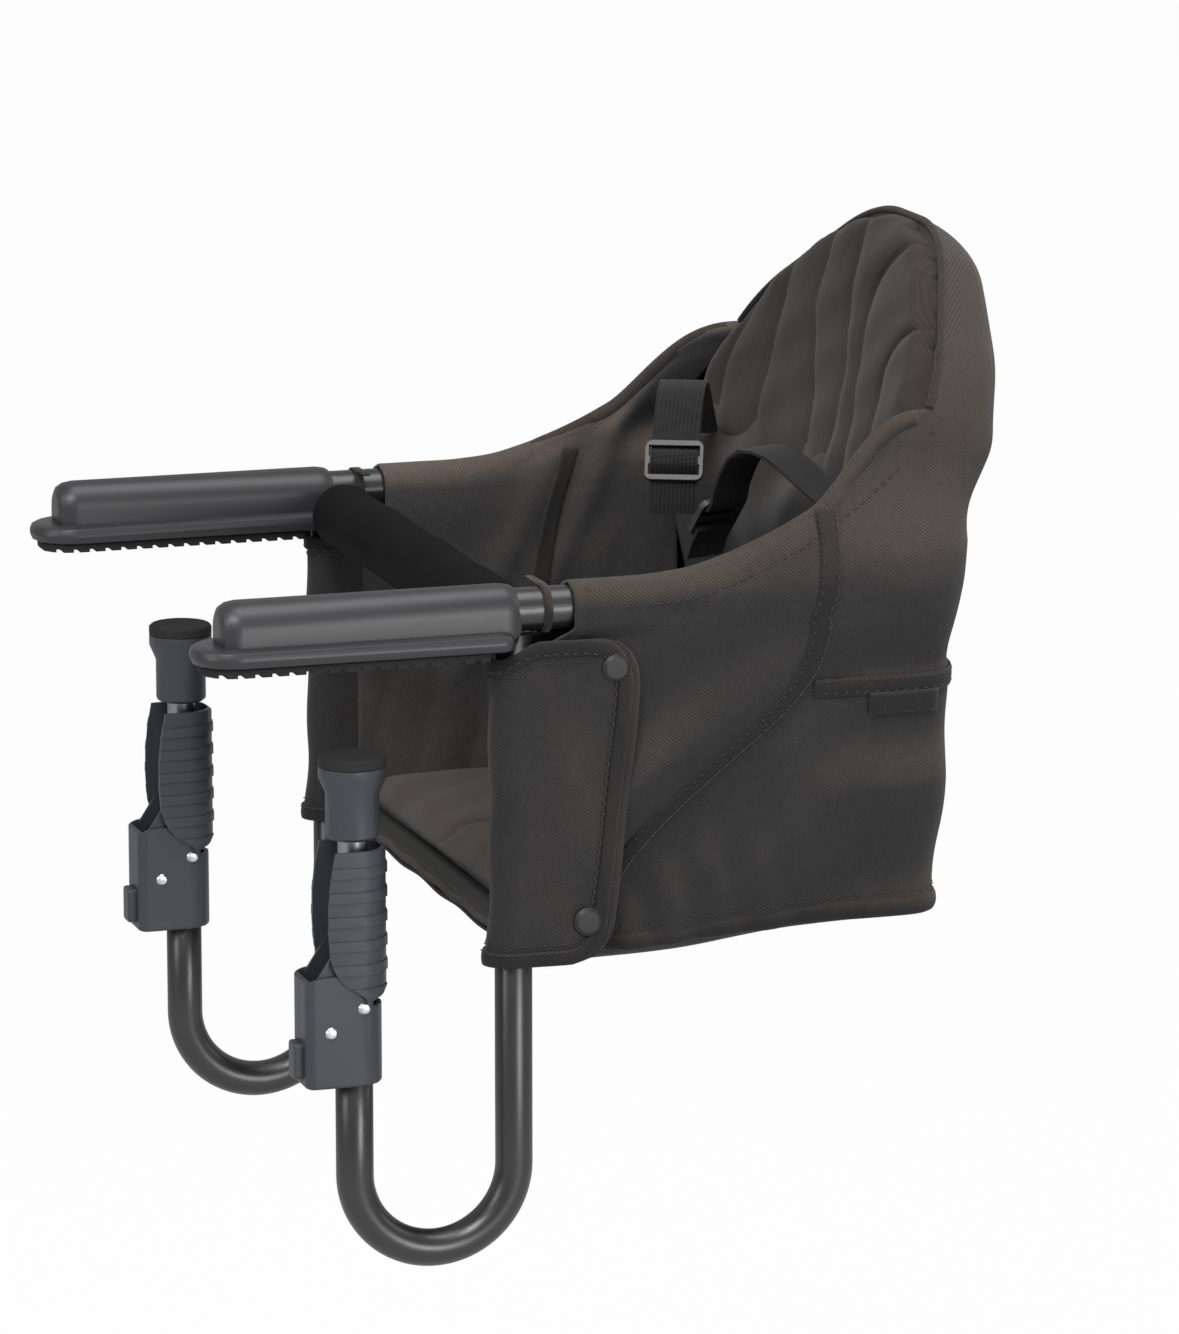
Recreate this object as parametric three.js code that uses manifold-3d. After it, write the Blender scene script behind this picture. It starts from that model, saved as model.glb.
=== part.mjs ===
// Hook-on table chair, in millimetres with +Z up.
// The origin is on the table edge, in the plane of the table top and midway between the arms.
// The arms reach over the table to -Y, the seat hangs behind the edge at +Y, and +X is the sitter's left.
import * as THREE from 'three';
import { mergeVertices } from 'three/addons/utils/BufferGeometryUtils.js';
import Module from 'manifold-3d';

const wasm = await Module();
wasm.setup();

// Clearances
const GAP = 0.3; // between pieces that touch
const RIVET_GAP = 0.3; // round a rivet or pin
const CUT = 1; // how far a cut runs past a face

// Steel frame
const ARM_SPACING = 336;
const RAIL_DIAMETER = 22;
const RAIL_WALL = 1.5;
const ARM_REACH = 135; // rail in front of the table edge
const RAIL_REACH = 234; // rail behind the table edge
const HOOK_DIAMETER = 19;
const HOOK_WALL = 1.5;
const HOOK_BACK = 12.5; // rear leg behind the table edge
const HOOK_SPAN = 83.5; // between the legs of the hook
const HOOK_DEPTH = 313; // lowest point below the table top
const HOOK_END_ABOVE = 18; // end of the front leg above the clamp's pivot
const CROSSBAR_DIAMETER = 16;
const CROSSBAR_WALL = 1.5;
const CROSSBAR_HEIGHT = 14;
const FOAM_DIAMETER = 34;
const FOAM_ROUND = 6;
const FOAM_END_GAP = 1.5;

// Arm covers and pads
const PAD_THICKNESS = 4;
const PAD_MARGIN = 4;
const PAD_REAR = -2;
const RIB_COUNT = 17;
const RIB_HEIGHT = 1.6;
const RIB_FILL = 0.6; // share of the rib pitch that is rubber
const COVER_WALL = 2.7;
const COVER_FLOOR = 6.4;
const COVER_NOSE = 4; // ahead of the rail's end
const COVER_SLOPE = 10; // length of its rounded front
const COVER_DROP = 6; // how far the top comes down there
const COVER_REAR = 15;
const FLANGE_WIDTH = 44;
const FLANGE_HEIGHT = 9.7;
const FLANGE_REACH = 153;
const FLANGE_REAR = 9;
const FLANGE_ROUND = 4;

// Clamps
const TABLE_THICKNESS = 46; // clamped in the pose at rest
const HOUSING_WIDTH = 28;
const HOUSING_WALL = 2;
const HOUSING_FRONT = 28; // front face ahead of the tube's axis
const HOUSING_BELOW = 29; // bottom below the pivot
const HOUSING_NOSE = 28.7; // radius of the top about the pivot
const HOUSING_REAR_TOP = 12; // top of the rear wall above the pivot
const HOUSING_CORNER = 5;
const HOUSING_ROUND = 2;
const POCKET_ROOM = 3; // room round the button's flange
const GRIP_LENGTH = 13; // bore that holds the tube
const PIVOT_AHEAD = 15.5; // pivot ahead of the tube's axis
const PIVOT_DEPTH = 184;
const RIVET_DIAMETER = 3.6;
const RIVET_HEAD = 6.5;
const RIVET_HEAD_HEIGHT = 1.5;
const TUBE_RIVET_BEHIND = 17; // behind and above the pivot
const TUBE_RIVET_ABOVE = 11.5;
const LEVER_WALL = 2.2;
const LEVER_TOP = 92; // below the table top
const LEVER_FRONT = 16; // front edge ahead of the tube's axis
const LEVER_TIP = 24.2; // radius of the lower edge about the pivot
const LEVER_RIBS = 6;
const LEVER_RIB_HEIGHT = 5;
const LEVER_RIB_PROUD = 0.8;
const LEVER_RIB_PITCH = 12.4;
const LEVER_RIB_FIRST = 8; // first rib below the lever's top
const LEVER_TRAVEL = 42; // degrees
const LEVER_CORNER = 6;
const LEVER_BELLY = 3; // how far its front edge curves
const ELBOW_AHEAD = 3; // bend of the bell-crank arm, from the pivot
const ELBOW_ABOVE = 25;
const ROOT_BEHIND = 8; // where the arm joins the lever, from the pivot
const ROOT_ABOVE = 42;
const SPACER_LENGTH = 9;
const SPACER_HEIGHT = 12;
const SPACER_BEHIND = 7;
const SPACER_ABOVE = 40;
const SPACER_SINK = 0.4;
const ARM_PLATE = 1.8;
const ARM_WIDTH = 8;
const CAM_WIDTH = 5;
const CAM_GAP = 0.7;
const PLUNGER_STROKE = 12;
const CROSS_PIN = 4;
const PLUNGER_TAIL = 7; // rod below its cross pin
const FOOT_PAD = 5;
const FOOT_DIAMETER = 34;
const CUP_DIAMETER = 27;
const CUP_HEIGHT = 36.7;
const CUP_SOCKET = 24;
const CUP_RIM = 6;
const CUP_FLARE = 8; // height of the cone under the rim
const CUP_ROUND = 1.5;
const FOOT_ROUND = 1.2;
const BUTTON_WIDTH = 12;
const BUTTON_HEIGHT = 19;
const BUTTON_PROUD = 4.5;
const BUTTON_TRAVEL = 3;
const BUTTON_FLANGE = 1.7;
const BUTTON_BELOW = 15.5; // middle of the button below the pivot
const BUTTON_ROUND = 1.2;
const BUTTON_LIP = 2; // flange beyond the key

// Backrest
const HINGE_INSET = 12; // hinge in front of the rail's end
const HINGE_BUSH = 9; // between rail and hoop
const HINGE_PIN = 7;
const HINGE_HEAD = 12;
const HINGE_HEAD_HEIGHT = 2;
const BACK_LEAN = 20; // degrees
const HOOP_DIAMETER = 16;
const HOOP_WALL = 1.2;
const HOOP_HEIGHT = 158;
const HOOP_SHOULDER = 85; // rise where the legs start to lean in
const HOOP_CROWN = 42; // half of the top run before its bends
const HOOP_BEND = 85;
const HOOP_TAIL = 10; // below the pin
const BACK_BOW = 14;
const BACK_START = 17;
const BACK_EDGE = 7; // padding outside the hoop
const BACK_WAIST = 5; // how much less there is at the bottom
const CORE_REAR = 18; // padding behind the hoop
const CORE_EDGE = 5; // the same at the edge
const BACK_PAD_EDGE = 4;
const BACK_PAD = 9;
const BACK_CROWN = 5;
const BACK_CHANNELS = 6;

// Fabric seat
const SEAT_DEPTH = 150; // lower edge below the table top
const PANEL_FRONT = 24.5;
const SLEEVE_FRONT = 41;
const PANEL_OVERHANG = 10; // fabric behind the rail's end
const PANEL_COVER = 2.5; // fabric round the rail
const PANEL_TURN = 14; // how far its rear edge turns in
const FOLD_ROOM = 80; // rail left bare inside for the backrest's fold
const PANEL_OUTER = 8; // outer face from the rail's plane
const PANEL_INNER = 8;
const PANEL_TUCK_OUTER = 16; // how far the faces lean in at the bottom
const PANEL_TUCK_INNER = 7.7;
const WAIST_LEVEL = -20;
const REAR_THICKNESS = 8;
const REAR_TOP = 8;
const REAR_BOW = 8;
const POCKET_THICKNESS = 2.5;
const POCKET_TOP = -20;
const BOARD_THICKNESS = 4;
const SLING_THICKNESS = 2.7;
const SEAT_FRONT = 12;
const SEAT_CORNER = 18;
const SEAT_PAD = 15;
const SEAT_CROWN = 6;
const WING_THICKNESS = 3;
const WING_SETBACK = 7; // from the rail's plane
const WING_FRONT = 66;
const WING_TURN = 0.34; // share of its length where the hem turns up
const WING_EASE = 0.15; // how gently it turns
const WING_OVERHANG = 12; // behind the rail's end
const WING_RISE = 113; // its rear corner above the table top
const FLAP_LOOSE = 0.8;
const FLAP_THICKNESS = 2;
const FLAP_TOP = -2;
const FLAP_DEPTH = 158;
const FLAP_WIDE = 78; // free edge behind the table edge at the top
const FLAP_NARROW = 60; // the same at the bottom
const FLAP_CORNER = 23;
const SNAP_DIAMETER = 14.6;
const SNAP_HEIGHT = 2.8;
const SNAP_POST = 5;
const SNAP_STANDOFF = 1; // post clear of the side panel
const SNAP_INSET = 15; // from the flap's free edge
const SNAP_TOP = -8;
const SNAP_BOTTOM = -137;
const TIE_WIDTH = 4;
const TIE_THICKNESS = 1;
const TIE_BACK = 28;
const TIE_TAIL = 22;

// Harness
const WEBBING_WIDTH = 25;
const WEBBING_THICKNESS = 1.6;
const STRAP_ROOT = 10.2; // sewn end of a strap in front of the hoop
const STRAP_RISE = 24; // sewn end above the hinge
const STRAP_INSET = 26; // sewn end inside the hoop's leg
const STRAP_TAIL = 32;
const STRAP_DROOP = 6.4;
const STRAP_LEAD = 3; // straight stretch before a slider
const WEAVE_ROOM = 0.9;
const LEFT_SLIDER_ACROSS = 30;
const LEFT_SLIDER_BACK = 167;
const LEFT_SLIDER_HEIGHT = 36;
const LEFT_ARCH = 22; // top of the strap above its sewn end
const LEFT_SLOPE = 56; // degrees
const RIGHT_SLIDER_ACROSS = 10;
const RIGHT_SLIDER_BACK = 157;
const RIGHT_SLIDER_HEIGHT = 58;
const RIGHT_ARCH = 38;
const RIGHT_SLOPE = 62; // degrees
const SLIDER_WIDTH = 31;
const SLIDER_LENGTH = 22;
const SLIDER_THICKNESS = 3.5;
const SLIDER_BAR = 4.4;
const SLIDER_RAIL = 3;
const SLIDER_ROUND = 4;
const BUCKLE_WIDTH = 44;
const BUCKLE_HEIGHT = 34;
const BUCKLE_THICKNESS = 13;
const BUCKLE_CORNER = 8;
const BUCKLE_ROUND = 2.5;
const CROTCH_FRONT = 95; // sewn point behind the table edge
const CROTCH_LENGTH = 46;
const CROTCH_LEAN = 12;

// Places that follow from the sizes
const armX = ARM_SPACING / 2;
const railRadius = RAIL_DIAMETER / 2;
const hookRadius = HOOK_DIAMETER / 2;
const coverBottom = PAD_THICKNESS + GAP;
const railHeight = coverBottom + COVER_FLOOR + railRadius + GAP;
const coverRadius = railRadius + GAP + COVER_WALL;
const clampY = HOOK_BACK - HOOK_SPAN;
const pivotY = clampY - PIVOT_AHEAD;
const pivotZ = -PIVOT_DEPTH;
const tubeRivetY = pivotY + TUBE_RIVET_BEHIND;
const tubeRivetZ = pivotZ + TUBE_RIVET_ABOVE;
const housingHalf = HOUSING_WIDTH / 2;
const leverInner = housingHalf + GAP;
const leverOuter = leverInner + LEVER_WALL;
const armInner = hookRadius + SPACER_SINK;
const armOuter = armInner + ARM_PLATE;
const crossPinZ = pivotZ + CAM_WIDTH / 2 + CAM_GAP + CROSS_PIN / 2;
const rivetBore = RIVET_DIAMETER / 2 + RIVET_GAP;
const plungerRadius = hookRadius - HOOK_WALL - GAP;
const footTop = -TABLE_THICKNESS;
const cupTop = footTop - FOOT_PAD - GAP;
const cupBottom = cupTop - CUP_HEIGHT;
const hoopRadius = HOOP_DIAMETER / 2;
const hoopHalf = armX - railRadius - HINGE_BUSH - hoopRadius;
const lean = THREE.MathUtils.degToRad(BACK_LEAN);
const hingeBack = RAIL_REACH - HINGE_INSET;
const panelRear = RAIL_REACH + PANEL_OVERHANG;
const wingRear = RAIL_REACH + WING_OVERHANG;
const backTop = HOOP_HEIGHT + hoopRadius + BACK_EDGE;
const flapInner = hookRadius + FLAP_LOOSE;
const flapOuter = flapInner + FLAP_THICKNESS;
const boardBottom = -SEAT_DEPTH + SLING_THICKNESS;
const boardTop = boardBottom + BOARD_THICKNESS;
const seatPadBottom = boardTop + GAP;

const SIDES = 18;
const SMALL_SIDES = 10;
const MESH_TOLERANCE = 0.02;

// Geometry helpers

function outward(geometry) {
  const place = geometry.attributes.position;
  const index = geometry.index.array;
  const a = new THREE.Vector3();
  const b = new THREE.Vector3();
  const c = new THREE.Vector3();
  let volume = 0;
  for (let i = 0; i < index.length; i += 3) {
    a.fromBufferAttribute(place, index[i]);
    b.fromBufferAttribute(place, index[i + 1]);
    c.fromBufferAttribute(place, index[i + 2]);
    volume += a.dot(b.cross(c));
  }
  if (volume < 0) {
    for (let i = 0; i < index.length; i += 3) {
      const kept = index[i + 1];
      index[i + 1] = index[i + 2];
      index[i + 2] = kept;
    }
  }
  return geometry;
}

function welded(geometry) {
  const plain = geometry.clone();
  plain.deleteAttribute('normal');
  plain.deleteAttribute('uv');
  const merged = mergeVertices(plain, 1e-4);
  const kept = [];
  for (let i = 0; i < merged.index.count; i += 3) {
    const [a, b, c] = [0, 1, 2].map((k) => merged.index.getX(i + k));
    if (a !== b && b !== c && c !== a) {
      kept.push(a, b, c);
    }
  }
  merged.setIndex(kept);
  return outward(merged);
}

function solid(geometry) {
  const clean = welded(geometry);
  const mesh = new wasm.Mesh({
    numProp: 3,
    vertProperties: new Float32Array(clean.attributes.position.array),
    triVerts: new Uint32Array(clean.index.array),
  });
  return new wasm.Manifold(mesh);
}

function fromSolid(manifold) {
  const mesh = manifold.simplify(MESH_TOLERANCE).getMesh();
  const geometry = new THREE.BufferGeometry();
  geometry.setAttribute('position', new THREE.Float32BufferAttribute(mesh.vertProperties, 3));
  geometry.setIndex(Array.from(mesh.triVerts));
  return geometry;
}

// A shape drawn in the plane across the named axis and drawn out along it from a start.
// Across x a shape is drawn as (y, z), across y as (z, x) and across z as (x, y).
function prism(shape, axis, start, length, bevel = {}) {
  const size = bevel.size ?? 0;
  const thickness = bevel.thickness ?? size;
  const geometry = new THREE.ExtrudeGeometry(shape, {
    depth: length - 2 * thickness,
    curveSegments: Math.round((bevel.curve ?? 8) / 2),
    bevelEnabled: size > 0,
    bevelSize: size,
    bevelThickness: thickness,
    bevelOffset: -size,
    bevelSegments: bevel.steps ?? 2,
  });
  geometry.translate(0, 0, start + thickness);
  const ex = new THREE.Vector3(1, 0, 0);
  const ey = new THREE.Vector3(0, 1, 0);
  const ez = new THREE.Vector3(0, 0, 1);
  const basis = { x: [ey, ez, ex], y: [ez, ex, ey], z: [ex, ey, ez] }[axis];
  return geometry.applyMatrix4(new THREE.Matrix4().makeBasis(...basis));
}

function ringShape(outer, inner) {
  const shape = new THREE.Shape().absarc(0, 0, outer, 0, Math.PI * 2);
  if (inner > 0) {
    shape.holes.push(new THREE.Path().absarc(0, 0, inner, 0, Math.PI * 2));
  }
  return shape;
}

function tube(outer, inner, axis, start, length, sides = SIDES) {
  return prism(ringShape(outer, inner), axis, start, length, { curve: sides });
}

function rod(radius, axis, start, length, sides = SMALL_SIDES) {
  return tube(radius, 0, axis, start, length, sides);
}

// A hole whose flats clear the given radius.
function bore(radius, axis, start, length, sides = SMALL_SIDES) {
  return rod(radius / Math.cos(Math.PI / sides), axis, start, length, sides);
}

function box(low, high) {
  const size = high.map((value, k) => value - low[k]);
  const geometry = new THREE.BoxGeometry(...size);
  return geometry.translate(...low.map((value, k) => value + size[k] / 2));
}

function roundedRectangle(width, height, radius) {
  const x = width / 2 - radius;
  const y = height / 2 - radius;
  const shape = new THREE.Shape();
  shape.absarc(x, y, radius, 0, Math.PI / 2);
  shape.absarc(-x, y, radius, Math.PI / 2, Math.PI);
  shape.absarc(-x, -y, radius, Math.PI, Math.PI * 1.5);
  shape.absarc(x, -y, radius, Math.PI * 1.5, Math.PI * 2);
  return shape;
}

function capsule(from, to, radius) {
  const angle = Math.atan2(to[1] - from[1], to[0] - from[0]);
  const shape = new THREE.Shape();
  shape.absarc(to[0], to[1], radius, angle - Math.PI / 2, angle + Math.PI / 2);
  shape.absarc(from[0], from[1], radius, angle + Math.PI / 2, angle + Math.PI * 1.5);
  return shape;
}

// A profile of [radius, height] points turned about the named axis.
function turned(profile, axis, sides = SIDES) {
  const points = profile.map(([radius, height]) => new THREE.Vector2(radius, height));
  const geometry = new THREE.LatheGeometry(points, sides);
  if (axis === 'z') {
    geometry.rotateX(Math.PI / 2);
  } else if (axis === 'x') {
    geometry.rotateZ(-Math.PI / 2);
  }
  return geometry;
}

// A closed sheet between two faces, each given as a function of u and v from 0 to 1.
function slab(columns, rows, front, back) {
  const points = [];
  const index = [];
  const across = columns + 1;
  const layer = across * (rows + 1);
  for (const face of [front, back]) {
    for (let j = 0; j <= rows; j++) {
      for (let i = 0; i <= columns; i++) {
        points.push(...face(i / columns, j / rows));
      }
    }
  }
  const quad = (a, b, c, d) => index.push(a, b, c, a, c, d);
  for (let j = 0; j < rows; j++) {
    for (let i = 0; i < columns; i++) {
      const a = j * across + i;
      quad(a, a + 1, a + 1 + across, a + across);
      quad(layer + a, layer + a + across, layer + a + 1 + across, layer + a + 1);
    }
  }
  const rim = [];
  for (let i = 0; i < columns; i++) {
    rim.push(i);
  }
  for (let j = 0; j < rows; j++) {
    rim.push(j * across + columns);
  }
  for (let i = columns; i > 0; i--) {
    rim.push(rows * across + i);
  }
  for (let j = rows; j > 0; j--) {
    rim.push(j * across);
  }
  rim.forEach((a, k) => {
    const b = rim[(k + 1) % rim.length];
    quad(a, layer + a, layer + b, b);
  });
  const geometry = new THREE.BufferGeometry();
  geometry.setAttribute('position', new THREE.Float32BufferAttribute(points, 3));
  geometry.setIndex(index);
  return outward(geometry);
}

// A path through chosen stations, for a section drawn along it.
class StationPath extends THREE.Curve {
  constructor(points) {
    super();
    this.points = points;
  }
  getPointAt(u) {
    return this.points[Math.round(u * (this.points.length - 1))].clone();
  }
  getTangentAt(u) {
    const last = this.points.length - 1;
    const k = Math.round(u * last);
    const before = this.points[Math.max(k - 1, 0)];
    const after = this.points[Math.min(k + 1, last)];
    return after.clone().sub(before).normalize();
  }
}

// Stations along straight runs whose corners are rounded.
function bentStations(corners, radius, steps) {
  const points = [corners[0].clone()];
  for (let k = 1; k < corners.length - 1; k++) {
    const inward = corners[k - 1].clone().sub(corners[k]).normalize();
    const onward = corners[k + 1].clone().sub(corners[k]).normalize();
    const half = inward.angleTo(onward) / 2;
    const middle = inward.clone().add(onward).normalize();
    const centre = corners[k].clone().addScaledVector(middle, radius / Math.sin(half));
    const first = corners[k].clone().addScaledVector(inward, radius / Math.tan(half)).sub(centre);
    const last = corners[k].clone().addScaledVector(onward, radius / Math.tan(half)).sub(centre);
    const sweep = first.angleTo(last);
    const axis = first.clone().cross(last).normalize();
    for (let i = 0; i <= steps; i++) {
      const spoke = first.clone().applyAxisAngle(axis, (sweep * i) / steps);
      const next = centre.clone().add(spoke);
      if (next.distanceTo(points[points.length - 1]) > GAP) {
        points.push(next);
      }
    }
  }
  points.push(corners[corners.length - 1].clone());
  return points;
}

function bentTube(points, outer, inner, sides) {
  return new THREE.ExtrudeGeometry(ringShape(outer, inner), {
    steps: points.length - 1,
    extrudePath: new StationPath(points),
    curveSegments: sides / 2,
  });
}

function mix(a, b, share) {
  return a + (b - a) * share;
}

function smooth(low, high, value) {
  return THREE.MathUtils.smoothstep(value, low, high);
}

// Materials

function finish(colour, roughness, metalness) {
  return new THREE.MeshStandardMaterial({ color: colour, roughness, metalness });
}

const tubeBlack = finish(0x1d1d20, 0.35, 0.6);
const foamBlack = finish(0x161617, 0.9, 0);
const coverPlastic = finish(0x3c3c40, 0.5, 0);
const clampPlastic = finish(0x4a4d54, 0.45, 0);
const padRubber = finish(0x222224, 0.8, 0);
const brightSteel = finish(0xb9bbbd, 0.3, 0.9);
const plungerSteel = finish(0x8d9094, 0.35, 0.9);
const charcoalTwill = finish(0x46423e, 0.9, 0);
const darkTwill = finish(0x3a3939, 0.9, 0);
const webbingBlack = finish(0x1c1b1b, 0.8, 0);
const sliderPlastic = finish(0x3a3733, 0.5, 0);
const boardPlastic = finish(0x55534f, 0.7, 0);

const part = new THREE.Group();

function add(name, geometry, material, x = 0) {
  const mesh = new THREE.Mesh(welded(geometry), material);
  mesh.name = name;
  mesh.position.x = x;
  part.add(mesh);
}

// The left piece is drawn about its side frame's plane, and the right one is its mirror image.
function addPair(name, geometry, material) {
  const left = welded(geometry);
  const right = outward(left.clone().scale(-1, 1, 1));
  add(`${name}_left`, left, material, armX);
  add(`${name}_right`, right, material, -armX);
}

// Side rails, hooks and crossbar

function rail() {
  const pipe = tube(railRadius, railRadius - RAIL_WALL, 'y', -ARM_REACH, ARM_REACH + RAIL_REACH);
  const pinHole = bore(HINGE_PIN / 2 + RIVET_GAP, 'x', -railRadius - CUT, RAIL_DIAMETER + 2 * CUT);
  pipe.translate(0, 0, railHeight);
  pinHole.translate(0, hingeBack, railHeight);
  return fromSolid(solid(pipe).subtract(solid(pinHole)));
}

function railSpace(extra) {
  const length = ARM_REACH + RAIL_REACH + 2 * extra;
  const space = bore(railRadius + extra, 'y', -ARM_REACH - extra, length, SIDES);
  return solid(space.translate(0, 0, railHeight));
}

function hook() {
  const bottom = hookRadius - HOOK_DEPTH;
  const corners = [
    new THREE.Vector3(0, HOOK_BACK, railHeight - hookRadius / 2),
    new THREE.Vector3(0, HOOK_BACK, bottom),
    new THREE.Vector3(0, clampY, bottom),
    new THREE.Vector3(0, clampY, pivotZ + HOOK_END_ABOVE),
  ];
  const stations = bentStations(corners, HOOK_SPAN / 2, 5);
  const slotHalf = CROSS_PIN / 2 + RIVET_GAP * 2;
  const slot = box(
    [-HOOK_DIAMETER, clampY - slotHalf, crossPinZ - PLUNGER_STROKE - slotHalf],
    [HOOK_DIAMETER, clampY + slotHalf, crossPinZ + slotHalf],
  );
  const rivetHole = bore(rivetBore, 'x', -HOOK_DIAMETER, 2 * HOOK_DIAMETER);
  return fromSolid(
    solid(bentTube(stations, hookRadius, hookRadius - HOOK_WALL, 12))
      .subtract(railSpace(GAP))
      .subtract(solid(slot))
      .subtract(solid(rivetHole.translate(0, tubeRivetY, tubeRivetZ))),
  );
}

function crossbar() {
  const half = armX - railRadius - GAP;
  const radius = CROSSBAR_DIAMETER / 2;
  const pipe = tube(radius, radius - CROSSBAR_WALL, 'x', -half, 2 * half);
  return pipe.translate(0, HOOK_BACK, CROSSBAR_HEIGHT);
}

function crossbarFoam() {
  const half = armX - FLANGE_WIDTH / 2 - FOAM_END_GAP;
  const inner = CROSSBAR_DIAMETER / 2 + GAP;
  const outer = FOAM_DIAMETER / 2;
  const profile = [[inner, -half]];
  for (const end of [-1, 1]) {
    for (let i = 0; i <= 4; i++) {
      const angle = ((end < 0 ? i : 4 - i) / 4) * (Math.PI / 2);
      const radius = outer - FOAM_ROUND + FOAM_ROUND * Math.sin(angle);
      profile.push([radius, end * (half - FOAM_ROUND + FOAM_ROUND * Math.cos(angle))]);
    }
  }
  profile.push([inner, half], [inner, -half]);
  return turned(profile, 'x', 18).translate(0, HOOK_BACK, CROSSBAR_HEIGHT);
}

add('crossbar_tube', crossbar(), tubeBlack);
add('crossbar_foam', crossbarFoam(), foamBlack);
addPair('side_rail', rail(), tubeBlack);
addPair('hook_tube', hook(), tubeBlack);

// Arm covers and their pads

function flangeOutline(margin, rear) {
  const half = FLANGE_WIDTH / 2 - margin;
  const front = -FLANGE_REACH + FLANGE_WIDTH / 2;
  const corner = half / 3;
  const shape = new THREE.Shape();
  shape.absarc(0, front, half, Math.PI, Math.PI * 2);
  shape.absarc(half - corner, rear - corner, corner, 0, Math.PI / 2);
  shape.absarc(corner - half, rear - corner, corner, Math.PI / 2, Math.PI);
  return shape;
}

function domeOutline() {
  const shape = new THREE.Shape();
  shape.moveTo(coverBottom + FLANGE_HEIGHT / 2, -coverRadius);
  shape.lineTo(coverBottom + FLANGE_HEIGHT / 2, coverRadius);
  shape.absarc(railHeight, 0, coverRadius, Math.PI / 2, -Math.PI / 2, true);
  return shape;
}

function armCover() {
  const nose = ARM_REACH + GAP + COVER_NOSE;
  const flange = prism(flangeOutline(0, FLANGE_REAR), 'z', coverBottom, FLANGE_HEIGHT, {
    size: FLANGE_ROUND,
  });
  const dome = prism(domeOutline(), 'y', -nose, nose + COVER_REAR, {
    size: COVER_DROP,
    thickness: COVER_SLOPE,
    steps: 3,
  });
  const legNotch = bore(hookRadius + GAP, 'z', coverBottom - CUT, railHeight);
  const barNotch = bore(CROSSBAR_DIAMETER / 2 + GAP, 'x', -FLANGE_WIDTH, FLANGE_WIDTH);
  return fromSolid(
    solid(flange)
      .add(solid(dome))
      .subtract(railSpace(GAP))
      .subtract(solid(legNotch.translate(0, HOOK_BACK, 0)))
      .subtract(solid(barNotch.translate(0, HOOK_BACK, CROSSBAR_HEIGHT))),
  );
}

function armPad() {
  const plate = prism(flangeOutline(PAD_MARGIN, PAD_REAR), 'z', RIB_HEIGHT, PAD_THICKNESS - RIB_HEIGHT);
  const outline = solid(prism(flangeOutline(PAD_MARGIN, PAD_REAR), 'z', 0, PAD_THICKNESS));
  const front = PAD_MARGIN - FLANGE_REACH;
  const pitch = (PAD_REAR - front) / RIB_COUNT;
  let pad = solid(plate);
  for (let k = 0; k < RIB_COUNT; k++) {
    const start = front + pitch * (k + (1 - RIB_FILL) / 2);
    const end = start + pitch * RIB_FILL;
    const sunk = (PAD_THICKNESS + RIB_HEIGHT) / 2;
    const rib = box([-FLANGE_WIDTH, start, 0], [FLANGE_WIDTH, end, sunk]);
    pad = pad.add(solid(rib).intersect(outline));
  }
  return fromSolid(pad);
}

addPair('arm_cover', armCover(), coverPlastic);
addPair('arm_pad', armPad(), padRubber);

// Clamp housings, drawn about the tube's axis

function housingOutline(half, front) {
  const corner = HOUSING_CORNER;
  const shape = new THREE.Shape();
  shape.absarc(0, clampY, half, 0, Math.PI);
  shape.absarc(corner - half, clampY - front + corner, corner, Math.PI, Math.PI * 1.5);
  shape.absarc(half - corner, clampY - front + corner, corner, Math.PI * 1.5, Math.PI * 2);
  return shape;
}

function housingSide() {
  const low = pivotZ - HOUSING_BELOW - CUT;
  const rear = clampY + HOUSING_WIDTH;
  const front = clampY - HOUSING_FRONT - CUT;
  const start = Math.asin(HOUSING_REAR_TOP / HOUSING_NOSE);
  const end = Math.acos((front - pivotY) / HOUSING_NOSE);
  const shape = new THREE.Shape();
  shape.moveTo(front, low);
  shape.lineTo(rear, low);
  shape.lineTo(rear, pivotZ + HOUSING_REAR_TOP);
  shape.absarc(pivotY, pivotZ, HOUSING_NOSE, start, end);
  return shape;
}

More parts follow.
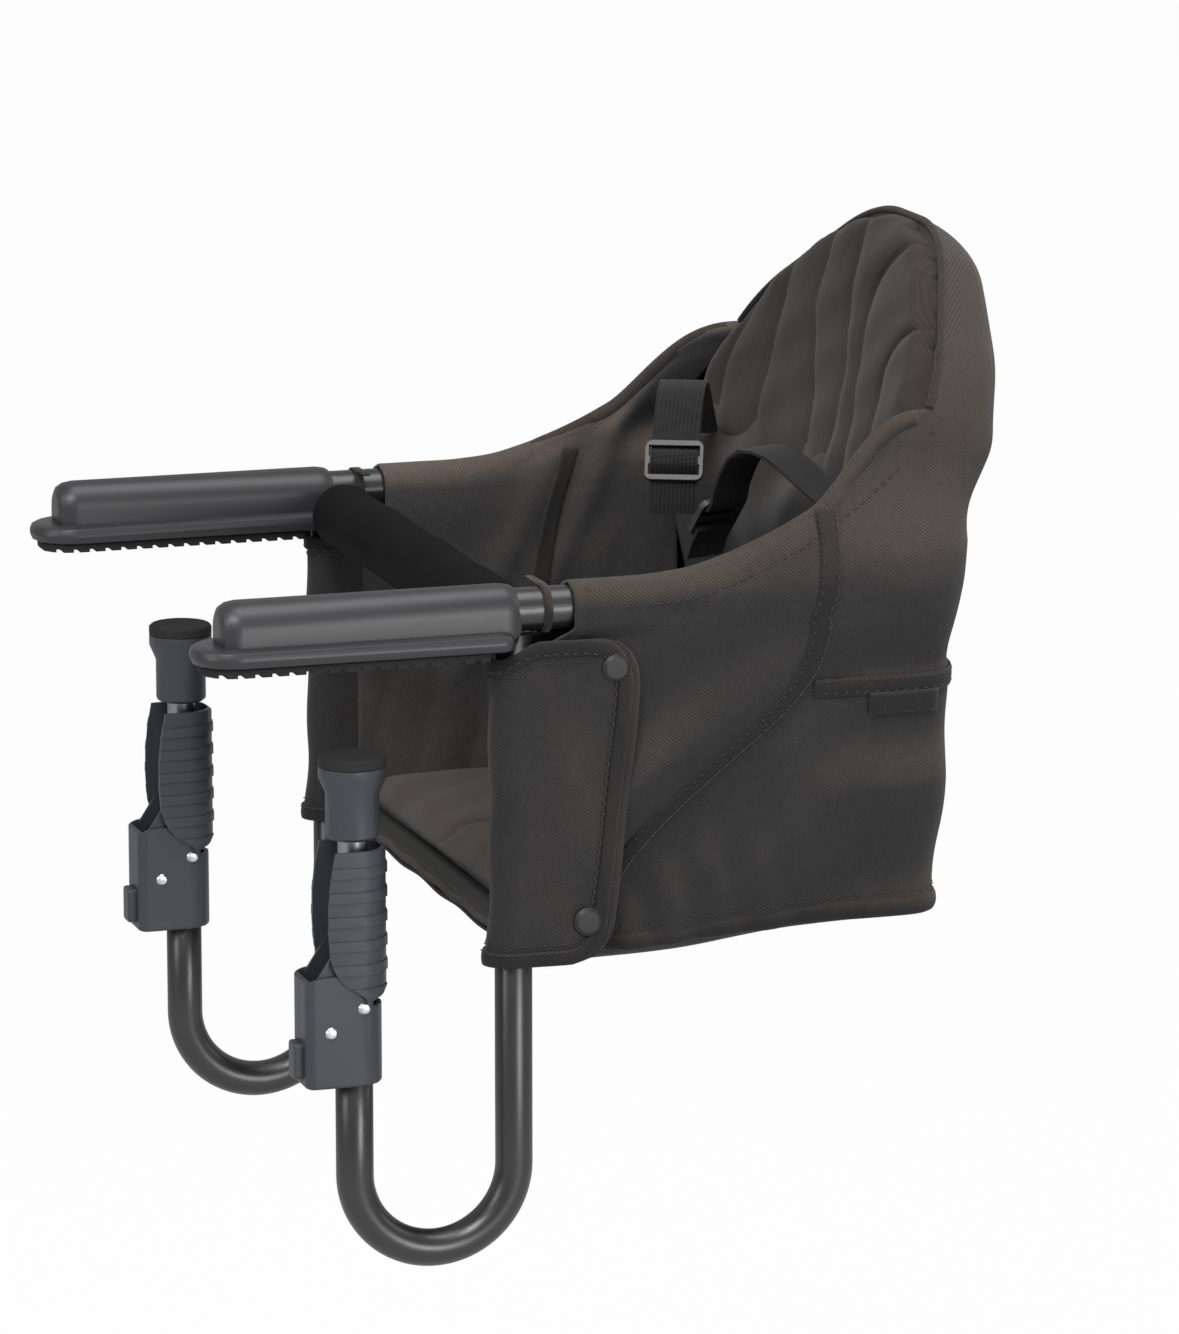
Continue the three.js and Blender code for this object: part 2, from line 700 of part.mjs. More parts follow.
function housing() {
  const bottom = pivotZ - HOUSING_BELOW;
  const top = pivotZ + HOUSING_NOSE;
  const inside = housingHalf - HOUSING_WALL;
  const frontWall = clampY - HOUSING_FRONT + HOUSING_WALL;
  const floor = bottom + GRIP_LENGTH;
  const above = top + HOUSING_CORNER;
  const block = prism(housingOutline(housingHalf, HOUSING_FRONT), 'z', bottom, above - bottom, {
    size: HOUSING_ROUND,
    steps: 2,
  });
  const side = prism(housingSide(), 'x', -HOUSING_WIDTH, 2 * HOUSING_WIDTH, { curve: 14 });
  const camRoom = clampY + CAM_WIDTH * 0.9;
  const hollow = solid(rod(inside, 'z', floor, HOUSING_NOSE + HOUSING_BELOW).translate(0, clampY, 0))
    .add(solid(box([-inside, frontWall, floor], [inside, camRoom, above + CUT])));
  const leverRoom = box(
    [-inside, clampY, pivotZ + HOUSING_REAR_TOP],
    [inside, clampY + HOUSING_WIDTH, above + CUT],
  );
  const grip = bore(hookRadius + GAP, 'z', bottom - CUT, HOUSING_BELOW, SIDES).translate(0, clampY, 0);
  const buttonZ = pivotZ - BUTTON_BELOW;
  const window = box(
    [-BUTTON_WIDTH / 2 - GAP, frontWall - HOUSING_WALL * 3, buttonZ - BUTTON_HEIGHT / 2 - GAP],
    [BUTTON_WIDTH / 2 + GAP, frontWall + CUT, buttonZ + BUTTON_HEIGHT / 2 + GAP],
  );
  const pocket = box(
    [-BUTTON_WIDTH / 2 - POCKET_ROOM, frontWall, buttonZ - BUTTON_HEIGHT / 2 - BUTTON_LIP],
    [BUTTON_WIDTH / 2 + POCKET_ROOM, clampY - hookRadius - CUT, buttonZ + BUTTON_HEIGHT / 2 + BUTTON_LIP],
  );
  const rivetHole = (y, z) => bore(rivetBore, 'x', -HOUSING_WIDTH, 2 * HOUSING_WIDTH).translate(0, y, z);
  const pivotHole = rivetHole(pivotY, pivotZ);
  const tubeHole = rivetHole(tubeRivetY, tubeRivetZ);
  return [leverRoom, grip, window, pocket, pivotHole, tubeHole].reduce(
    (body, cut) => body.subtract(solid(cut)),
    solid(block).intersect(solid(side)).subtract(hollow),
  );
}

function housingShell(body, sign) {
  const reach = HOUSING_WIDTH;
  const low = [sign > 0 ? GAP / 2 : -reach, -ARM_SPACING, -HOOK_DEPTH];
  const high = [sign > 0 ? reach : -GAP / 2, ARM_SPACING, 0];
  return fromSolid(body.intersect(solid(box(low, high))));
}

const housingBody = housing();
addPair('clamp_shell_outer', housingShell(housingBody, 1), clampPlastic);
addPair('clamp_shell_inner', housingShell(housingBody, -1), clampPlastic);

function rivet(y, z) {
  const shank = RIVET_DIAMETER / 2;
  const head = RIVET_HEAD / 2;
  const face = housingHalf + GAP;
  const profile = [
    [0, -face - RIVET_HEAD_HEIGHT],
    [head * 0.7, -face - RIVET_HEAD_HEIGHT * 0.75],
    [head, -face],
    [shank, -face],
    [shank, face],
    [head, face],
    [head * 0.7, face + RIVET_HEAD_HEIGHT * 0.75],
    [0, face + RIVET_HEAD_HEIGHT],
  ];
  return turned(profile, 'x', SMALL_SIDES).translate(0, y, z);
}

addPair('pivot_rivet', rivet(pivotY, pivotZ), brightSteel);
addPair('tube_rivet', rivet(tubeRivetY, tubeRivetZ), brightSteel);

// Clamp levers: a ribbed channel with bell-crank arms inside the housing

function channel(outer, inner, start, length) {
  const front = clampY - LEVER_FRONT - 2 * LEVER_BELLY;
  const shape = new THREE.Shape();
  shape.moveTo(outer, front);
  shape.absarc(0, clampY, outer, 0, Math.PI);
  shape.lineTo(-outer, front);
  shape.lineTo(-inner, front);
  shape.absarc(0, clampY, inner, Math.PI, 0, true);
  shape.lineTo(inner, front);
  return solid(prism(shape, 'z', start, length, { curve: 8 }));
}

function leverSide() {
  const length = PIVOT_DEPTH - LEVER_TOP;
  const down = (share) => -LEVER_TOP - length * share;
  const front = clampY - LEVER_FRONT;
  const rear = clampY + leverOuter + LEVER_RIB_PROUD + CUT;
  const tip = THREE.MathUtils.degToRad(38);
  const heel = THREE.MathUtils.degToRad(62);
  const heelY = pivotY + LEVER_TIP * Math.cos(heel);
  const heelZ = pivotZ + LEVER_TIP * Math.sin(heel);
  const shape = new THREE.Shape();
  shape.moveTo(front + LEVER_BELLY, -LEVER_TOP);
  shape.quadraticCurveTo(front - LEVER_BELLY, down(0.28), front, down(0.58));
  shape.quadraticCurveTo(front + LEVER_BELLY * 0.7, down(0.72), heelY, heelZ);
  shape.absarc(pivotY, pivotZ, LEVER_TIP, heel, tip, true);
  shape.quadraticCurveTo(rear - LEVER_CORNER, down(0.83), rear, down(0.72));
  shape.lineTo(rear, -LEVER_TOP - LEVER_CORNER);
  shape.absarc(rear - LEVER_CORNER, -LEVER_TOP - LEVER_CORNER, LEVER_CORNER, 0, Math.PI / 2);
  return shape;
}

function lever() {
  const length = PIVOT_DEPTH - LEVER_TOP;
  const ribOuter = leverOuter + LEVER_RIB_PROUD;
  const ribInner = leverInner + LEVER_WALL / 2;
  let body = channel(leverOuter, leverInner, -PIVOT_DEPTH, length);
  for (let k = 0; k < LEVER_RIBS; k++) {
    const bottom = -LEVER_TOP - LEVER_RIB_FIRST - k * LEVER_RIB_PITCH - LEVER_RIB_HEIGHT;
    body = body.add(channel(ribOuter, ribInner, bottom, LEVER_RIB_HEIGHT));
  }
  const side = prism(leverSide(), 'x', -HOUSING_WIDTH, 2 * HOUSING_WIDTH, { curve: 8 });
  body = body.intersect(solid(side));
  body = body.add(leverArm(1)).add(leverArm(-1));
  const pivotBore = bore(rivetBore, 'x', -HOUSING_WIDTH, 2 * HOUSING_WIDTH).translate(0, pivotY, pivotZ);
  return fromSolid(body.subtract(solid(pivotBore)));
}

// A bent arm on the pivot: one end lifts the plunger's cross pin, the other is fixed to the lever.
function leverArm(sign) {
  const pivot = [pivotY, pivotZ];
  const elbow = [pivotY - ELBOW_AHEAD, pivotZ + ELBOW_ABOVE];
  const root = [pivotY + ROOT_BEHIND, pivotZ + ROOT_ABOVE];
  const cam = [pivotY + PIVOT_AHEAD + CAM_GAP, pivotZ];
  const start = sign > 0 ? armInner : -armOuter;
  const plate = (from, to, width) => {
    const outline = capsule(from, to, width / 2);
    return solid(prism(outline, 'x', start, ARM_PLATE, { curve: 5 }));
  };
  const near = armOuter - SPACER_SINK;
  const far = leverInner + SPACER_SINK;
  const y = pivotY + SPACER_BEHIND;
  const z = pivotZ + SPACER_ABOVE;
  const spacer = box(
    [sign > 0 ? near : -far, y - SPACER_LENGTH / 2, z - SPACER_HEIGHT / 2],
    [sign > 0 ? far : -near, y + SPACER_LENGTH / 2, z + SPACER_HEIGHT / 2],
  );
  return plate(pivot, elbow, ARM_WIDTH)
    .add(plate(elbow, root, ARM_WIDTH))
    .add(plate(pivot, cam, CAM_WIDTH))
    .add(solid(spacer));
}

addPair('clamp_lever', lever(), clampPlastic);

// Plungers and their feet

function plunger() {
  const low = crossPinZ - PLUNGER_TAIL;
  const high = cupBottom + CUP_SOCKET - GAP;
  const body = rod(plungerRadius, 'z', low, high - low, SIDES).translate(0, clampY, 0);
  const pinHalf = armOuter - GAP / 3;
  const pin = rod(CROSS_PIN / 2, 'x', -pinHalf, 2 * pinHalf).translate(0, clampY, crossPinZ);
  const slotHalf = rivetBore + GAP;
  const slot = box(
    [-HOOK_DIAMETER, tubeRivetY - slotHalf, tubeRivetZ - slotHalf],
    [HOOK_DIAMETER, tubeRivetY + slotHalf, tubeRivetZ + PLUNGER_STROKE + slotHalf],
  );
  return fromSolid(solid(body).subtract(solid(slot)).add(solid(pin)));
}

function footCup() {
  const socket = plungerRadius + GAP;
  const neck = CUP_DIAMETER / 2;
  const rim = FOOT_DIAMETER / 2;
  const profile = [
    [0, cupBottom + CUP_SOCKET],
    [socket, cupBottom + CUP_SOCKET],
    [socket, cupBottom],
    [neck - CUP_ROUND, cupBottom],
    [neck, cupBottom + CUP_ROUND],
    [neck, cupTop - CUP_RIM - CUP_FLARE],
    [rim, cupTop - CUP_RIM],
    [rim, cupTop],
    [0, cupTop],
  ];
  return turned(profile, 'z', SIDES).translate(0, clampY, 0);
}

function footPad() {
  const rim = FOOT_DIAMETER / 2;
  const profile = [
    [0, footTop - FOOT_PAD],
    [rim, footTop - FOOT_PAD],
    [rim, footTop - FOOT_ROUND],
    [rim - FOOT_ROUND, footTop],
    [0, footTop],
  ];
  return turned(profile, 'z', SIDES).translate(0, clampY, 0);
}

addPair('plunger', plunger(), plungerSteel);
addPair('foot_cup', footCup(), clampPlastic);
addPair('foot_pad', footPad(), padRubber);

function button() {
  const face = clampY - HOUSING_FRONT;
  const z = pivotZ - BUTTON_BELOW;
  const inside = face + HOUSING_WALL + GAP;
  const outline = roundedRectangle(BUTTON_HEIGHT, BUTTON_WIDTH, BUTTON_ROUND * 2);
  const sunk = inside + BUTTON_FLANGE / 3;
  const key = prism(outline, 'y', face - BUTTON_PROUD, sunk - face + BUTTON_PROUD, {
    size: BUTTON_ROUND,
    steps: 2,
    curve: 4,
  });
  const flange = box(
    [-BUTTON_WIDTH / 2 - BUTTON_LIP, inside, z - BUTTON_HEIGHT / 2 - BUTTON_ROUND],
    [BUTTON_WIDTH / 2 + BUTTON_LIP, inside + BUTTON_FLANGE, z + BUTTON_HEIGHT / 2 + BUTTON_ROUND],
  );
  const neck = box(
    [-BUTTON_WIDTH / 2, face, z - BUTTON_HEIGHT / 2],
    [BUTTON_WIDTH / 2, sunk, z + BUTTON_HEIGHT / 2],
  );
  return fromSolid(solid(key.translate(0, 0, z)).add(solid(flange)).add(solid(neck)));
}

addPair('release_button', button(), clampPlastic);

// Backrest: places on it are given across (x), up along the lean (rise) and behind the hoop (behind)

function bow(x, rise) {
  const ramp = mix(0.4, 1, smooth(0, HOOP_SHOULDER, rise));
  return BACK_BOW * ramp * (1 - (x / hoopHalf) ** 2);
}

function onBack(x, rise, behind) {
  const out = behind + bow(x, rise);
  const y = hingeBack + rise * Math.sin(lean) + out * Math.cos(lean);
  const z = railHeight + rise * Math.cos(lean) - out * Math.sin(lean);
  return [x, y, z];
}

// The hoop's outline grown by a margin: upright legs, shoulders that lean in and a short top run.
function archCorners(margin, foot) {
  const slope = new THREE.Vector2(HOOP_HEIGHT - HOOP_SHOULDER, hoopHalf - HOOP_CROWN).normalize();
  const half = hoopHalf + margin;
  const shoulder = HOOP_SHOULDER + (margin * (1 - slope.x)) / slope.y;
  const crown = HOOP_CROWN + (margin * (1 - slope.y)) / slope.x;
  const left = [[half, foot], [half, shoulder], [crown, HOOP_HEIGHT + margin]];
  const right = left.map(([x, rise]) => [-x, rise]).reverse();
  return [...left, ...right].map(([x, rise]) => new THREE.Vector3(x, rise, 0));
}

function hoopStations() {
  const flat = bentStations(archCorners(0, -HOOP_TAIL), HOOP_BEND, 4);
  return flat.map((point) => new THREE.Vector3(...onBack(point.x, point.y, 0)));
}

function backHoop() {
  const pipe = bentTube(hoopStations(), hoopRadius, hoopRadius - HOOP_WALL, 10);
  const hole = bore(HINGE_PIN / 2 + RIVET_GAP, 'x', -ARM_SPACING, 2 * ARM_SPACING);
  return fromSolid(solid(pipe).subtract(solid(hole.translate(0, hingeBack, railHeight))));
}

const backMargin = hoopRadius + BACK_EDGE;
const backOutline = bentStations(archCorners(backMargin, 0), HOOP_BEND + backMargin, 6)
  .filter((point) => point.x > 0);

function backHalf(rise) {
  const next = Math.max(1, backOutline.findIndex((point) => point.y >= rise - MESH_TOLERANCE));
  const low = backOutline[next - 1];
  const high = backOutline[next];
  const waist = BACK_WAIST * (1 - smooth(BACK_START, HOOP_SHOULDER, rise));
  return mix(low.x, high.x, (rise - low.y) / (high.y - low.y)) - waist;
}

function backFace(depth) {
  return (u, v) => {
    const rise = mix(BACK_START, backTop, Math.sin((v * Math.PI) / 2));
    const x = (2 * u - 1) * backHalf(rise);
    return onBack(x, rise, depth(u, rise));
  };
}

function backCore() {
  const front = backFace(() => -hoopRadius - GAP / 3);
  const rear = backFace((u, rise) => {
    const top = smooth(backTop - 2 * BACK_START, backTop, rise);
    const edge = Math.sin(Math.PI * u) ** 0.4 * (1 - top);
    return hoopRadius + mix(CORE_EDGE, CORE_REAR, edge);
  });
  const groove = bentTube(hoopStations(), hoopRadius + 2 * GAP, 0, 10);
  return fromSolid(solid(slab(12, 9, front, rear)).subtract(solid(groove)));
}

function backPad() {
  const rear = backFace(() => -hoopRadius - 3 * GAP);
  const front = backFace((u, rise) => {
    const channel = Math.abs(Math.sin(Math.PI * BACK_CHANNELS * u)) ** 0.6;
    const top = 1 - smooth(backTop - 2 * BACK_START, backTop, rise);
    const foot = smooth(0, 2 * BACK_START, rise);
    return -hoopRadius - GAP - mix(BACK_PAD_EDGE, BACK_PAD + BACK_CROWN * channel, top * foot);
  });
  return slab(BACK_CHANNELS * 4, 10, front, rear);
}

function hingePin() {
  const shank = HINGE_PIN / 2;
  const head = HINGE_HEAD / 2;
  const outside = railRadius + GAP;
  const bushStart = -railRadius - GAP;
  const bushEnd = bushStart - HINGE_BUSH + 2 * GAP;
  const inside = -railRadius - HINGE_BUSH - HOOP_DIAMETER - GAP;
  const profile = [
    [0, inside - HINGE_HEAD_HEIGHT],
    [head * 0.8, inside - HINGE_HEAD_HEIGHT],
    [head, inside],
    [shank, inside],
    [shank, bushEnd],
    [head, bushEnd],
    [head, bushStart],
    [shank, bushStart],
    [shank, outside],
    [head, outside],
    [head * 0.8, outside + HINGE_HEAD_HEIGHT],
    [0, outside + HINGE_HEAD_HEIGHT],
  ];
  return turned(profile, 'x', SMALL_SIDES).translate(0, hingeBack, railHeight);
}

add('back_hoop', backHoop(), tubeBlack);
add('back_core', backCore(), darkTwill);
add('back_pad', backPad(), charcoalTwill);
addPair('hinge_pin', hingePin(), brightSteel);

// Fabric seat: distances from the side frame's plane at a height

function lowered(z) {
  return Math.max(0, (WAIST_LEVEL - z) / (SEAT_DEPTH + WAIST_LEVEL)) ** 2;
}

function panelSide(z, level, tuck, sign) {
  const sleeve = railRadius + PANEL_COVER;
  if (z >= railHeight) {
    return sign * Math.sqrt(Math.max(sleeve ** 2 - (z - railHeight) ** 2, (2 * WING_THICKNESS) ** 2 / 4));
  }
  const wall = sign * level - tuck * lowered(z);
  return mix(wall, sign * sleeve, smooth(railHeight - 2 * sleeve, railHeight - FLAP_THICKNESS, z));
}

function panelOuter(z) {
  return panelSide(z, PANEL_OUTER, PANEL_TUCK_OUTER, 1);
}

function panelInner(z) {
  return panelSide(z, PANEL_INNER, PANEL_TUCK_INNER, -1);
}

function seatHalf(z) {
  return armX + panelInner(z) - GAP;
}

function sidePanel() {
  const top = railHeight + railRadius + PANEL_COVER - GAP;
  const height = (v) => mix(-SEAT_DEPTH, top, v < 0.6 ? v * 1.25 : 1 - ((1 - v) / 0.4) ** 2 * 0.25);
  const length = (u) => mix(PANEL_FRONT, panelRear, u);
  const corner = (u) => PANEL_TURN * smooth(0.94, 1, u) ** 2;
  const outer = (u, v) => [panelOuter(height(v)) - corner(u), length(u), height(v)];
  const inner = (u, v) => [panelInner(height(v)), length(u), height(v)];
  const reach = armX / 2;
  const sleeveCut = box([-reach, 0, FLAP_TOP - CUT], [reach, SLEEVE_FRONT, reach]);
  const hingeCut = box(
    [-reach, hingeBack - FOLD_ROOM, FLAP_TOP],
    [CUT - railRadius, panelRear + CUT, reach],
  );
  const headCut = bore(HINGE_HEAD / 2 + GAP, 'x', 0, railRadius + GAP * 2 + HINGE_HEAD_HEIGHT);
  return fromSolid(
    solid(slab(10, 14, outer, inner))
      .subtract(railSpace(GAP))
      .subtract(solid(sleeveCut))
      .subtract(solid(hingeCut))
      .subtract(solid(headCut.translate(0, hingeBack, railHeight))),
  );
}

function sideWing() {
  const low = railHeight + railRadius + PANEL_COVER;
  const turn = (u) => u - WING_TURN + Math.hypot(u - WING_TURN, WING_EASE);
  const hem = (u) => mix(low, WING_RISE, turn(u) / turn(1));
  const length = (u) => mix(WING_FRONT, wingRear, u);
  const place = (offset) => (u, v) => [offset - WING_SETBACK * u, length(u), mix(low, hem(u), v)];
  return slab(12, 4, place(WING_THICKNESS / 2), place(-WING_THICKNESS / 2));
}

function rearPanel() {
  const height = (v) => mix(boardBottom, REAR_TOP, v);
  const swell = (u) => REAR_BOW * (1 - (2 * u - 1) ** 2);
  const face = (y) => (u, v) => [(2 * u - 1) * (seatHalf(height(v)) - GAP), y + swell(u), height(v)];
  return slab(12, 6, face(panelRear - REAR_THICKNESS), face(panelRear));
}

function rearPocket() {
  const height = (v) => mix(boardBottom, POCKET_TOP, v);
  const swell = (u) => REAR_BOW * (1 - (2 * u - 1) ** 2);
  const face = (y) => (u, v) => [(2 * u - 1) * (seatHalf(height(v)) - GAP), y + swell(u), height(v)];
  return slab(12, 4, face(panelRear + GAP), face(panelRear + GAP + POCKET_THICKNESS));
}

function seatOutline(z) {
  const width = 2 * (seatHalf(z) - GAP);
  const depth = panelRear - REAR_THICKNESS - SEAT_FRONT - GAP;
  return { width, depth, middle: SEAT_FRONT + depth / 2 };
}

function seatPlate(bottom, thickness) {
  const { width, depth, middle } = seatOutline(bottom);
  return prism(roundedRectangle(width, depth, SEAT_CORNER), 'z', bottom, thickness).translate(0, middle, 0);
}

function seatPad() {
  const { width, depth, middle } = seatOutline(seatPadBottom);
  const across = (u) => (u - 0.5) * (width - 2 * GAP);
  const along = (v) => middle + (v - 0.5) * (depth - 2 * GAP);
  const crown = (u, v) => (Math.sin(Math.PI * u) * Math.sin(Math.PI * v)) ** 0.5;
  const height = (u, v) => seatPadBottom + SEAT_PAD - SEAT_CROWN * (1 - crown(u, v));
  const top = (u, v) => [across(u), along(v), height(u, v)];
  const under = (u, v) => [across(u), along(v), seatPadBottom];
  return slab(10, 8, top, under);
}

addPair('side_panel', sidePanel(), charcoalTwill);
addPair('side_wing', sideWing(), charcoalTwill);
add('rear_panel', rearPanel(), darkTwill);
add('rear_pocket', rearPocket(), darkTwill);
add('seat_sling', seatPlate(-SEAT_DEPTH, SLING_THICKNESS - GAP), darkTwill);
add('seat_board', seatPlate(boardBottom, BOARD_THICKNESS), boardPlastic);
add('seat_pad', seatPad(), charcoalTwill);

// Flaps round the rear legs, with their snaps

function flap() {
  const sheet = new THREE.Shape();
  sheet.moveTo(flapOuter, FLAP_WIDE);
  sheet.lineTo(flapInner, FLAP_WIDE);
  sheet.absarc(0, HOOK_BACK, flapInner, 0, Math.PI, true);
  sheet.lineTo(-flapInner, HOOK_BACK + hookRadius);
  sheet.lineTo(-flapOuter, HOOK_BACK + hookRadius);
  sheet.absarc(0, HOOK_BACK, flapOuter, Math.PI, Math.PI * 2);
  const edge = new THREE.Shape();
  const front = HOOK_BACK - HOOK_DIAMETER;
  edge.moveTo(front, FLAP_TOP);
  edge.lineTo(front, -FLAP_DEPTH);
  edge.lineTo(FLAP_NARROW - FLAP_CORNER, -FLAP_DEPTH);
  edge.quadraticCurveTo(FLAP_NARROW, -FLAP_DEPTH, FLAP_NARROW, -FLAP_DEPTH + FLAP_CORNER);
  edge.lineTo(FLAP_WIDE, FLAP_TOP - FLAP_CORNER);
  edge.quadraticCurveTo(FLAP_WIDE, FLAP_TOP, FLAP_WIDE - FLAP_CORNER, FLAP_TOP);
  const outline = prism(edge, 'x', -2 * flapOuter, 4 * flapOuter, { curve: 6 });
  const wrap = prism(sheet, 'z', -FLAP_DEPTH - CUT, FLAP_DEPTH + 2 * CUT, { curve: 12 });
  let body = solid(wrap).intersect(solid(outline));
  for (const z of [SNAP_TOP, SNAP_BOTTOM]) {
    const hole = bore(SNAP_POST / 2 + RIVET_GAP, 'x', 0, 2 * flapOuter).translate(0, snapY(z), z);
    body = body.subtract(solid(hole));
  }
  return fromSolid(body);
}

function snapY(z) {
  const share = (FLAP_TOP - z) / (FLAP_DEPTH + FLAP_TOP);
  return mix(FLAP_WIDE, FLAP_NARROW, share) - SNAP_INSET;
}

function snap(z) {
  const face = flapOuter + GAP;
  const cap = SNAP_DIAMETER / 2;
  const profile = [
    [0, panelOuter(z) + SNAP_STANDOFF],
    [SNAP_POST / 2, panelOuter(z) + SNAP_STANDOFF],
    [SNAP_POST / 2, face],
    [cap, face],
    [cap, face + SNAP_HEIGHT * 0.4],
    [cap * 0.75, face + SNAP_HEIGHT * 0.9],
    [0, face + SNAP_HEIGHT],
  ];
  return turned(profile, 'x', 14).translate(0, snapY(z), z);
}

addPair('leg_flap', flap(), charcoalTwill);
addPair('snap_upper', snap(SNAP_TOP), tubeBlack);
addPair('snap_lower', snap(SNAP_BOTTOM), tubeBlack);

// Thin tie bands on the bare stretch of the rails

function tieBand() {
  const inner = railRadius + GAP;
  const outer = inner + TIE_THICKNESS;
  const band = tube(outer, inner, 'y', TIE_BACK - TIE_WIDTH / 2, TIE_WIDTH);
  const tail = box([-TIE_TAIL, TIE_BACK - TIE_WIDTH / 2, inner], [0, TIE_BACK + TIE_WIDTH / 2, outer]);
  return fromSolid(solid(band).add(solid(tail)).translate([0, 0, railHeight]));
}

addPair('tie_band', tieBand(), charcoalTwill);

// Harness: each strap lies in an upright plane, drawn as distance along the plane and height

function weave(distance) {
  const over = SLIDER_THICKNESS / 2 + WEBBING_THICKNESS / 2 + GAP;
  const bar = SLIDER_BAR / 2 + WEAVE_ROOM;
  const outside = SLIDER_LENGTH / 2 - SLIDER_RAIL - WEAVE_ROOM;
  const share = THREE.MathUtils.clamp((Math.abs(distance) - bar) / (outside - bar), 0, 1);
  return mix(over, -over, share);
}

// Points of a strap through a slider: a curve with a straight stretch, offset by the weave.
function strapLine(knots, slider) {
  const curve = new THREE.SplineCurve(knots.map(([along, height]) => new THREE.Vector2(along, height)));
  const points = curve.getSpacedPoints(60);
  const half = SLIDER_LENGTH / 2 + CUT;
  const lead = SLIDER_LENGTH / 2 + STRAP_LEAD;
  const thinned = (chosen) => chosen.filter((point, k) => k % 4 === 0);
  const outside = (point) => point.clone().addScaledVector(slider.normal, weave(SLIDER_LENGTH));
  const before = thinned(points.filter((point) => slider.station(point) < -lead));
  const after = thinned(points.filter((point) => slider.station(point) > lead));
  const inside = [];
  for (let k = 0; k <= 20; k++) {
    const station = mix(-half, half, k / 20);
    const point = slider.centre.clone().addScaledVector(slider.along, station);
    inside.push(point.addScaledVector(slider.normal, weave(station)));
  }
  return [...before.map(outside), ...inside, ...after.map(outside)];
}

function ribbonShape(points) {
  const half = WEBBING_THICKNESS / 2;
  const left = [];
  const right = [];
  points.forEach((point, k) => {
    const before = points[Math.max(k - 1, 0)];
    const after = points[Math.min(k + 1, points.length - 1)];
    const normal = after.clone().sub(before).normalize().rotateAround(new THREE.Vector2(), Math.PI / 2);
    left.push(point.clone().addScaledVector(normal, half));
    right.unshift(point.clone().addScaledVector(normal, -half));
  });
  return new THREE.Shape([...left, ...right]);
}

// Moves what is drawn in an upright plane to the plane through a foot point, along a heading.
function inPlane(geometry, foot, heading) {
  const along = new THREE.Vector3(Math.cos(heading), Math.sin(heading), 0);
  const up = new THREE.Vector3(0, 0, 1);
  const across = along.clone().cross(up);
  const place = new THREE.Matrix4().makeBasis(along, up, across);
  place.setPosition(foot[0], foot[1], 0);
  return geometry.applyMatrix4(place);
}

function waistStrap(foot, target, arch, slope) {
  const heading = Math.atan2(target[1] - foot[1], target[0] - foot[0]);
  const reach = Math.hypot(target[0] - foot[0], target[1] - foot[1]);
  const angle = THREE.MathUtils.degToRad(-slope);
  const slider = {
    centre: new THREE.Vector2(reach, target[2]),
    along: new THREE.Vector2(Math.cos(angle), Math.sin(angle)),
    normal: new THREE.Vector2(-Math.sin(angle), Math.cos(angle)),
  };
  slider.station = (point) => point.clone().sub(slider.centre).dot(slider.along);
  const shape = [[0, 0], [0.24, 0.5], [0.52, 1], [0.78, 0.84]];
  const knots = shape.map(([along, height]) => [along * reach, foot[2] + height * arch]);
  const line = strapLine([...knots, slider.centre.toArray(), ...strapEnd(slider)], slider);
  const strap = prism(ribbonShape(line), 'z', -WEBBING_WIDTH / 2, WEBBING_WIDTH);
  const frame = sliderFrame().applyMatrix4(sliderPlace(slider));
  return { strap: inPlane(strap, foot, heading), slider: inPlane(frame, foot, heading) };
}

function strapEnd(slider) {
  return [0.44, 0.75, 1].map((share, k) => {
    const droop = new THREE.Vector2(-STRAP_DROOP * (k / 2) ** 2, 0);
    const point = slider.centre.clone().addScaledVector(slider.along, share * STRAP_TAIL);
    return point.add(droop).toArray();
  });
}

function sliderFrame() {
  const outline = roundedRectangle(SLIDER_LENGTH, SLIDER_WIDTH, SLIDER_ROUND);
  const inner = SLIDER_BAR / 2;
  const outer = SLIDER_LENGTH / 2 - SLIDER_RAIL;
  const half = WEBBING_WIDTH / 2 + WEAVE_ROOM;
  const frame = solid(prism(outline, 'z', -SLIDER_THICKNESS / 2, SLIDER_THICKNESS, { curve: 4 }));
  return fromSolid(
    frame
      .subtract(solid(box([inner, -half, -SLIDER_THICKNESS], [outer, half, SLIDER_THICKNESS])))
      .subtract(solid(box([-outer, -half, -SLIDER_THICKNESS], [-inner, half, SLIDER_THICKNESS]))),
  );
}

// The frame is drawn in its own plane: its length follows the strap and its width crosses it.
function sliderPlace(slider) {
  const along = new THREE.Vector3(slider.along.x, slider.along.y, 0);
  const across = new THREE.Vector3(0, 0, -1);
  const place = new THREE.Matrix4().makeBasis(along, across, along.clone().cross(across));
  return place.setPosition(slider.centre.x, slider.centre.y, 0);
}

const anchorX = hoopHalf - STRAP_INSET;
const anchorDepth = -hoopRadius - STRAP_ROOT - WEBBING_WIDTH / 2;
const [, anchorY, anchorZ] = onBack(anchorX, STRAP_RISE, anchorDepth);

